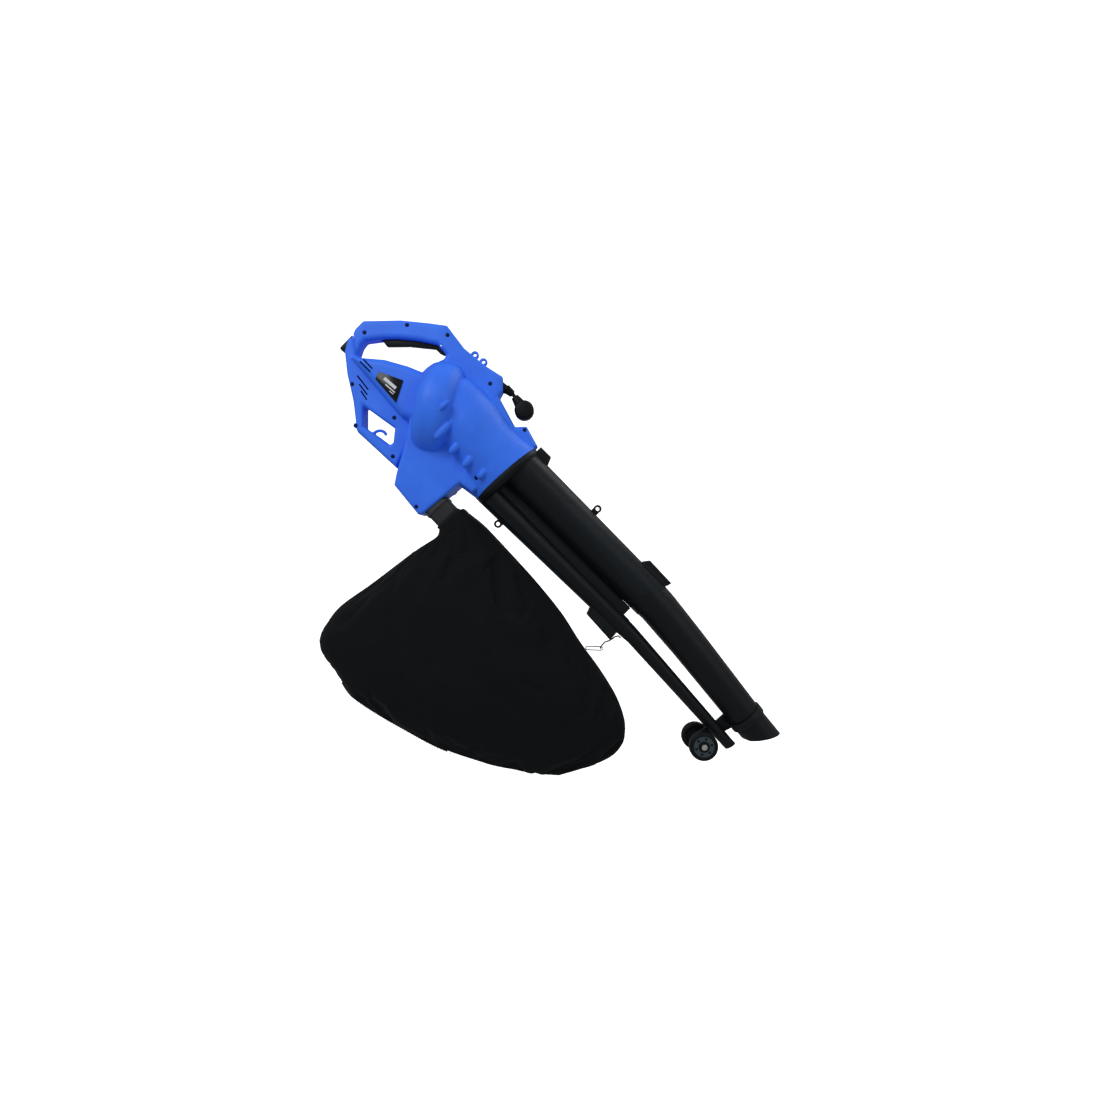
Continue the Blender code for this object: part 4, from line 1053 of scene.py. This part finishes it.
@dataclass
class Tubes:
    """The twin tube with its lugs, both nozzles and the screws that clamp them."""

    finishes: Finishes
    wall: float = 2.6
    tube_axis: Vector = field(default_factory=lambda: Vector((0.705, 0.0, -0.709)))
    seam_axis: Vector = field(default_factory=lambda: Vector((0.29, 0.0, -0.957)))
    seam: Vector = field(default_factory=lambda: Vector((478.5, 0.0, -519.0)))
    tip: Vector = field(default_factory=lambda: Vector((712.0, 0.0, -803.0)))
    rib: Outline = ((204.5, -302.3), (448.9, -545.6), (442.3, -552.1), (197.9, -308.8))

    def build(self) -> None:
        """Dress the tubes and the nozzles."""
        refine("twin_tube", self.finishes.black, 0.6, 30.0)
        rib = plate("tube_rib", self.rib, 7.0, 1.5)
        smooth_by(rib, 35.0)
        mount(rib, "blower", self.finishes.black)
        self.nozzle()
        refine("blow_nozzle", self.finishes.black, 0.4, 34.0)
        for node in ("screw_lug_upper_high", "screw_lug_upper_low", "screw_lug_lower"):
            refine(node, self.finishes.dull, 0.0, 40.0)

    def nozzle(self) -> None:
        """The tapered suction nozzle: a spigot, a slanted seam, a smooth bend and a level mouth."""
        outer = loft("suction_nozzle_shell", self.rings(0.0), 64)
        start, run = self.seam, self.tube_axis
        spigot = loft("spigot", [(start + run * d, run, 39.4, 39.4) for d in (-43.5, 20.0)], 64)
        carve(outer, [spigot], Operation.ADD)
        lining = self.rings(self.wall)
        mouth, down, across, deep = lining[-1]
        throat = [(start + run * d, run, 36.8, 36.8) for d in (-60.0, 4.0)]
        past = mouth + Vector((2.0, 0.0, -10.0))
        bore = loft("bore", [*throat, *lining[2:-1], (past, down, across, deep)], 64)
        carve(outer, [bore], Operation.CUT)
        smooth_by(outer, 34.0)
        mount(outer, "blower", self.finishes.black, ("suction_nozzle",))

    def rings(self, inset: float) -> list[Ring]:
        """Rings of the nozzle from its seam to its mouth.

        Args:
            inset: How far its wall is moved inwards.

        Returns:
            The rings, seam first.
        """
        start, run = self.seam, (self.tip - self.seam).normalized()
        stops = [
            (start + self.seam_axis * 0.3, self.seam_axis, 44.5, 41.0),
            (start + self.tube_axis * 10.0, Vector((0.38, 0.0, -0.925)), 42.5, 40.5),
            (start + self.tube_axis * 40.0, Vector((0.55, 0.0, -0.835)), 38.5, 38.5),
        ]
        for place in (0.35, 0.55, 0.72, 0.84):
            stops.append((start.lerp(self.tip, place) + Vector((5.0, 0.0, 4.0)) * (1.0 - place), run,
                          38.5 - 6.0 * min(1.0, place / 0.84), 38.5 - 6.0 * min(1.0, place / 0.84)))
        stops.append((self.tip - run * 30.0, Vector((0.45, 0.0, -0.893)), 33.5, 32.5))
        stops.append((self.tip, Vector((0.2, 0.0, -0.98)), 37.0, 32.0))
        return [(spot, axis, across - inset, deep - inset) for spot, axis, across, deep in stops]


@dataclass
class Wheels:
    """The bracket on the suction nozzle, its axle and both guide wheels."""

    finishes: Finishes

    def build(self) -> None:
        """Dress the bracket, the axle and the wheels, and add the wheels' caps."""
        refine("wheel_bracket", self.finishes.black, 0.5)
        refine("wheel_axle", self.finishes.steel, 0.3)
        for node in ("wheel_right", "wheel_left"):
            refine(node, self.finishes.rubber, 0.5)
            self.cap(node)

    def cap(self, node: str) -> None:
        """The grey face of one wheel, with six round holes.

        Args:
            node: The wheel that carries it.
        """
        low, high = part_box(node)
        side = -1.0 if node == "wheel_right" else 1.0
        centre = (low + high) / 2.0 / MM
        face = abs((low.y if side < 0 else high.y) / MM - centre.y)
        out = Vector((0.0, side, 0.0))
        profile = [(20.4, face - 2.8), (20.2, face - 1.6), (11.0, face - 1.0), (10.4, face - 2.4)]
        dish = turned("dish", profile, centre, out, 48)
        ring = []
        for i in range(6):
            angle = 2.0 * math.pi * (i + 0.25) / 6
            spot = centre + Vector((15.4 * math.cos(angle), 0.0, 15.4 * math.sin(angle)))
            ring.append(bar("hole", spot + out * (face - 6.0), spot + out * (face + 4.0), 2.6, steps=20))
        bore = bar("bore", centre + out * (face - 9.0), centre + out * (face + 6.0), 9.4, steps=40)
        carve(dish, [join_meshes(ring, "holes"), bore], Operation.CUT)
        dish.name = f"{node}_cap"
        smooth_by(dish, 35.0)
        mount(dish, node, self.finishes.grey)


@dataclass
class PowerLead:
    """The short mains pigtail, its gland on the nose and its moulded plug."""

    finishes: Finishes
    radius: float = 3.9

    def build(self) -> None:
        """Build the lead and dress what it joins."""
        plug = refine("plug", self.finishes.rubber, 0.6)
        pins = [refine(node, self.finishes.brass, 0.3) for node in ("plug_pin_1", "plug_pin_2")]
        axis = Vector((0.79, 0.0, -0.613)).normalized()
        mouth = Vector((195.0, 0.0, -104.5))
        self.relief(mouth, axis)
        back = Vector((219.5, 0.0, -126.0))
        run = (Vector((238.5, 0.0, -153.5)) - back).normalized()
        route = rounded_path([mouth - axis * 13.0, mouth + axis * 5.0, mouth + axis * 20.0, back - run * 5.0,
                              back + run * 7.0], 5)
        curve = bpy.data.curves.new("power_lead", "CURVE")
        curve.dimensions = "3D"
        spline = curve.splines.new("POLY")
        spline.points.add(len(route) - 1)
        for place, spot in zip(spline.points, route):
            place.co = (*(spot * MM), 1.0)
        curve.bevel_depth = self.radius * MM
        curve.bevel_resolution = 4
        curve.use_fill_caps = True
        lead = bpy.data.objects.new("power_lead", curve)
        bpy.context.scene.collection.objects.link(lead)
        mount_curve(lead, "blower", self.finishes.rubber, ("power_cord",))

    def relief(self, mouth: Vector, axis: Vector) -> None:
        """The ribbed strain relief that tapers from the nose to the lead.

        Args:
            mouth: Where it leaves the housing, in millimetres.
            axis: Its direction.
        """
        profile = [(7.4, -12.0), (7.4, 9.0), (9.8, 9.4), (9.8, 11.6)]
        for i in range(4):
            foot = 12.0 + 3.0 * i
            reach = 9.0 - 0.45 * i
            profile += [(reach - 1.3, foot), (reach - 1.3, foot + 0.8), (reach, foot + 1.2),
                        (reach, foot + 2.6)]
        profile += [(6.9, 24.4), (6.3, 26.0)]
        sleeve = turned("cord_relief", profile, mouth, axis, 40)
        bore = bar("bore", mouth - axis * 20.0, mouth + axis * 32.0, self.radius + 0.25)
        carve(sleeve, [bore], Operation.CUT)
        smooth_by(sleeve, 35.0)
        mount(sleeve, "blower", self.finishes.rubber, ("cord_gland",))


def mount_curve(item: bpy.types.Object, body: str, finish: bpy.types.Material,
                stands_for: tuple[str, ...]) -> None:
    """Dress a curve piece and hang it on its body.

    Args:
        item: The curve object.
        body: The body that it moves with.
        finish: Its material.
        stands_for: The nodes that it replaces.
    """
    item.data.materials.append(finish)
    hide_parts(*stands_for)
    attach(item, body)


@dataclass
class LeafBag:
    """The collecting bag: two cloth panels with a sewn welt, a zip, a neck collar and its hook and loop."""

    finishes: Finishes
    steps: int = 112
    rows: int = 96
    voxel: float = 5.0
    pressure: float = 1.2
    most_move: float = 9.0
    stations: tuple[tuple[tuple[float, float], tuple[float, float], float, float], ...] = (
        ((73, -389), (119, -350), 39, 7.0), ((66, -408), (132, -363), 40, 5.0),
        ((20, -436), (160, -386), 42, 3.2),
        ((-64, -499), (212, -441), 48, 2.6), ((-130, -547), (262, -496), 53, 2.5),
        ((-160, -590), (312, -558), 56, 2.5), ((-166, -622), (350, -617), 57, 2.5),
        ((-151, -651), (387, -668), 57, 2.5), ((-134, -675), (418, -718), 55, 2.5),
        ((-121, -699), (435, -760), 51, 2.5), ((-104, -722), (439, -790), 45, 2.5),
        ((-64, -751), (431, -822), 36, 2.5), ((-1, -788), (404, -848), 25, 2.5),
        ((80, -830), (360, -866), 15, 2.5), ((190, -866), (306, -882), 7, 2.5),
    )

    def station(self, place: float) -> tuple[Vector, Vector, float, float]:
        """The left edge, right edge, half depth and power at a place from 0 at the neck to 1 at the tip."""
        spot = place * (len(self.stations) - 1)
        i = min(int(spot), len(self.stations) - 2)
        t = spot - i
        rows = [self.stations[min(max(k, 0), len(self.stations) - 1)] for k in (i - 1, i, i + 1, i + 2)]

        def curve(values: list[float]) -> float:
            """A smooth value through four neighbours."""
            a, b, c, d = values
            return 0.5 * (2 * b + (c - a) * t + (2 * a - 5 * b + 4 * c - d) * t ** 2
                          + (3 * b - a - 3 * c + d) * t ** 3)

        left = Vector((curve([r[0][0] for r in rows]), 0.0, curve([r[0][1] for r in rows])))
        right = Vector((curve([r[1][0] for r in rows]), 0.0, curve([r[1][1] for r in rows])))
        return left, right, curve([r[2] for r in rows]), curve([r[3] for r in rows])

    def fold(self, across: float, place: float) -> float:
        """How far the cloth stands in or out, from its folds.

        Args:
            across: From -1 at the rear edge to 1 at the front edge.
            place: From 0 at the neck to 1 at the tip.

        Returns:
            The offset in millimetres.
        """
        fan = math.sin(across * 9.5 + 1.2 * math.sin(place * 5.0)) * 5.0
        fan *= math.exp(-((place - 0.22) / 0.16) ** 2)
        sag = math.sin(across * 4.1 - place * 7.5 + 0.6) * 4.2 * math.exp(-((place - 0.62) / 0.26) ** 2)
        edge = math.sin(place * 46.0 + across * 3.0) * 2.2 * abs(across) ** 5
        spot = Vector((across * 3.2, place * 4.4, 0.7))
        rough = noise.noise(spot) * 6.0 + noise.noise(spot * 2.7) * 2.6 + noise.noise(spot * 7.1) * 0.9
        return fan + sag + edge + rough * min(1.0, place * 6.0)

    def body(self) -> bpy.types.Object:
        """The bag's two panels as one closed cloth form.

        Returns:
            The finished bag.
        """
        clear_selection()
        bpy.ops.mesh.primitive_grid_add(x_subdivisions=self.steps - 1, y_subdivisions=self.rows - 1, size=2.0)
        item = bpy.context.object
        item.name = "leaf_bag_cloth"
        columns = self.steps
        for vertex in item.data.vertices:
            column = round((vertex.co.x + 1.0) / 2.0 * (columns - 1))
            place = (vertex.co.y + 1.0) / 2.0
            left, right, half, power = self.station(place)
            angle = 2.0 * math.pi * column / (columns - 1)
            c, s = math.cos(angle), math.sin(angle)
            cx = math.copysign(abs(c) ** (2.0 / power), c)
            sy = math.copysign(abs(s) ** (2.0 / power), s)
            middle, reach = (left + right) / 2.0, (right - left) / 2.0
            near = 1.0 if s < 0.0 else 0.8
            lift = self.fold(cx, place) * near * abs(s) ** 0.6
            depth = half * sy + math.copysign(lift, s) * 0.9
            vertex.co = (middle + reach * cx + Vector((0.0, depth, 0.0))) * MM
        face_outwards(item, 2e-5)
        open_edit(item)
        bpy.ops.mesh.select_all(action="DESELECT")
        bpy.ops.mesh.select_mode(type="EDGE")
        bpy.ops.mesh.select_non_manifold()
        bpy.ops.mesh.edge_face_add()
        bpy.ops.mesh.select_mode(type="VERT")
        close_edit()
        face_outwards(item, 2e-5)
        self.inflate(item)
        return item

    def inflate(self, item: bpy.types.Object) -> None:
        """Let the cloth find its wrinkles under a light pressure, with the neck and the sewn edge held.

        Args:
            item: The bag, which is changed in place.
        """
        activate(item)
        item.data.remesh_voxel_size = self.voxel * MM
        bpy.ops.object.voxel_remesh()
        rest = [vertex.co.copy() for vertex in item.data.vertices]
        group = item.vertex_groups.new(name="held")
        neck_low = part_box("bag_collar")[0].z - 0.030
        for vertex in item.data.vertices:
            if vertex.co.z > neck_low or abs(vertex.co.y) < 0.004:
                group.add([vertex.index], 1.0, "REPLACE")
        cloth = item.modifiers.new("cloth", "CLOTH")
        cloth.settings.quality = 5
        cloth.settings.mass = 0.25
        cloth.settings.tension_stiffness = 18.0
        cloth.settings.compression_stiffness = 18.0
        cloth.settings.bending_stiffness = 0.35
        cloth.settings.use_pressure = True
        cloth.settings.uniform_pressure_force = self.pressure
        cloth.settings.shrink_min = -0.045
        cloth.settings.vertex_group_mass = "held"
        cloth.settings.effector_weights.gravity = 0.0
        scene = bpy.context.scene
        scene.frame_start, scene.frame_end = 1, 20
        for step in range(1, 21):
            scene.frame_set(step)
        apply_all(item)
        scene.frame_set(1)
        for vertex, start in zip(item.data.vertices, rest):
            move = vertex.co - start
            if move.length > self.most_move * MM:
                vertex.co = start + move.normalized() * self.most_move * MM
        finer = item.modifiers.new("finer", "SUBSURF")
        finer.levels = 1
        finer.render_levels = 1
        apply_all(item)

    def edge_path(self, item: bpy.types.Object, side: float, start: float, end: float,
                  count: int) -> list[Vector]:
        """Points on the bag's edge, found on its final surface.

        Args:
            item: The bag.
            side: -1 for the rear and lower edge, 1 for the front edge.
            start: Place where the path starts, from 0 at the neck to 1 at the tip.
            end: Place where it ends.
            count: How many points.

        Returns:
            The points in millimetres, from start to end.
        """
        tree = BVHTree.FromObject(item, bpy.context.evaluated_depsgraph_get())
        path = []
        for i in range(count):
            left, right, _, _ = self.station(start + (end - start) * i / (count - 1))
            middle = (left + right) / 2.0
            out = (right - left).normalized() * side
            hit = tree.ray_cast((middle + out * 400.0) * MM, -out)[0]
            if hit is not None:
                path.append(hit / MM)
        return path

    def trims(self, item: bpy.types.Object) -> None:
        """The sewn welt along both edges, and the zip along the lower edge.

        Args:
            item: The bag.
        """
        front = self.edge_path(item, 1.0, 0.06, 1.0, 70)
        rear = self.edge_path(item, -1.0, 0.06, 1.0, 70)
        path = [*rear, *reversed(front)]
        welt = swept("bag_welt", rounded_path(path, 2), 1.5)
        mount(welt, "leaf_bag", self.finishes.webbing)
        lower = rear[42:66]
        teeth, tape = [], []
        for a, b in zip(lower, lower[1:]):
            run = b - a
            normal = Vector((-run.z, 0.0, run.x)).normalized()
            if normal.z > 0.0:
                normal = -normal
            tape.append(a + normal * 0.6 + Vector((0.0, -6.0, 0.0)))
            for t in (0.0, 0.33, 0.66):
                spot = a + run * t + normal * 1.9 + Vector((0.0, -6.0, 0.0))
                teeth.append(block("tooth", spot, (1.6, 3.4, 1.2), run))
        mount(join_meshes(teeth, "zip_teeth"), "leaf_bag", self.finishes.dull)
        ribbon = swept("zip_tape", tape, 1.3)
        mount(ribbon, "leaf_bag", self.finishes.webbing)

    def build(self) -> None:
        """Build the bag and dress what holds it."""
        item = self.body()
        activate(item)
        bpy.ops.object.shade_smooth()
        mount(item, "leaf_bag", self.finishes.cloth, ("leaf_bag",))
        self.trims(item)
        refine("bag_collar", self.finishes.webbing, 0.6)
        refine("bag_connector", self.finishes.charcoal, 0.6)
        refine("bag_hook", self.finishes.dark_steel, 0.0, 60.0)
        self.loop()

    def loop(self) -> None:
        """The elastic loop from the bag's edge to the hook."""
        source = frame["nodes"]["bag_loop"]
        item = bpy.data.objects.new("bag_loop_cord", source.data.copy())
        bpy.context.scene.collection.objects.link(item)
        open_edit(item)
        bpy.ops.mesh.remove_doubles(threshold=2e-6)
        close_edit()
        activate(item)
        bpy.ops.object.shade_smooth()
        dress(item, self.finishes.webbing)
        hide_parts("bag_loop")
        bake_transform(item)


@dataclass
class Studio:
    """The pale sweep, the soft lights and the camera."""

    distance: float = 1.32
    width: float = 2.2
    centre: Vector = field(default_factory=lambda: Vector((0.290, 0.0, -0.432)))
    floor: float = -0.905

    def sweep(self) -> None:
        """The floor that curves up into the backdrop, white enough to show no shade."""
        clear_selection()
        bpy.ops.mesh.primitive_plane_add(size=1.0)
        item = bpy.context.object
        item.name = "studio_sweep"
        size = Matrix.Diagonal((14.0, 7.0, 1.0, 1.0))
        item.data.transform(Matrix.Translation((0.3, -1.6, self.floor)) @ size)
        open_edit(item)
        bpy.ops.mesh.select_all(action="DESELECT")
        close_edit()
        back = max(vertex.co.y for vertex in item.data.vertices)
        for edge in item.data.edges:
            edge.select = all(item.data.vertices[i].co.y > back - 0.01 for i in edge.vertices)
        for vertex in item.data.vertices:
            vertex.select = vertex.co.y > back - 0.01
        bpy.ops.object.mode_set(mode="EDIT")
        for i in range(12):
            angle = math.radians(90.0) * (i + 0.5) / 12
            step = 1.4 * math.pi / 24
            bpy.ops.mesh.extrude_region_move(TRANSFORM_OT_translate={
                "value": (0.0, step * math.cos(angle), step * math.sin(angle))})
        bpy.ops.mesh.extrude_region_move(TRANSFORM_OT_translate={"value": (0.0, 0.0, 7.0)})
        close_edit()
        activate(item)
        bpy.ops.object.shade_smooth()
        paper = Nodes("studio_paper")
        tint = paper.ramp(paper.noise(3.0), 0.3, 0.7, 0.0, 1.0)
        white = paper.blend(tint, (0.93, 0.93, 0.93), (0.95, 0.95, 0.95))
        paper.link(white, paper.shader.inputs["Base Color"])
        paper.shader.inputs["Roughness"].default_value = 0.9
        paper.shader.inputs["Specular IOR Level"].default_value = 0.1
        paper.shader.inputs["Emission Color"].default_value = (1.0, 1.0, 1.0, 1.0)
        paper.shader.inputs["Emission Strength"].default_value = 0.9
        dress(item, paper.material)
        item.visible_glossy = False
        item.visible_diffuse = False

    def light(self, name: str, place: tuple[float, float, float], size: float, power: float,
              colour: tuple[float, float, float] = (1.0, 1.0, 1.0)) -> None:
        """One soft square light that looks at the middle of the machine.

        Args:
            name: The light's name.
            place: Where it stands, in metres.
            size: The side of the square.
            power: Its power in watts.
            colour: Its colour.
        """
        lamp = bpy.data.lights.new(name, "AREA")
        lamp.size = size
        lamp.energy = power
        lamp.color = colour
        item = bpy.data.objects.new(name, lamp)
        item.location = place
        item.rotation_euler = (self.centre - Vector(place)).to_track_quat("-Z", "Y").to_euler()
        bpy.context.scene.collection.objects.link(item)

    def build(self) -> None:
        """Set up the sweep, the lights and the camera."""
        self.sweep()
        world = bpy.data.worlds.new("studio")
        world.use_nodes = True
        world.node_tree.nodes["Background"].inputs["Color"].default_value = (1.0, 1.0, 1.0, 1.0)
        world.node_tree.nodes["Background"].inputs["Strength"].default_value = 0.36
        bpy.context.scene.world = world
        bpy.context.scene.view_settings.view_transform = "Standard"
        self.light("key", (-1.0, -1.9, 1.3), 1.3, 33.0)
        self.light("fill", (2.2, -1.7, 0.5), 1.6, 10.0)
        self.light("rim", (1.9, 0.6, 1.5), 1.4, 15.0)
        camera = bpy.data.cameras.new("camera")
        camera.sensor_width = 36.0
        camera.lens = 36.0 * self.distance / self.width
        item = bpy.data.objects.new("camera", camera)
        item.location = self.centre - Vector((0.0, self.distance, 0.0))
        item.rotation_euler = (math.radians(90.0), 0.0, 0.0)
        bpy.context.scene.collection.objects.link(item)
        bpy.context.scene.camera = item


def main() -> None:
    """Build every sub-assembly in order."""
    logging.basicConfig(level=logging.INFO, format="%(name)s: %(message)s")
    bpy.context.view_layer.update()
    Studio().build()
    finishes = make_finishes()
    PowerLead(finishes).build()
    Housing(finishes).build()
    for assembly in (Controls, Drive, ModeSelector, Tubes, Wheels, LeafBag):
        assembly(finishes).build()
        LOG.info("%s done", assembly.__name__)
    clear_selection()


if __name__ == "__main__":
    main()
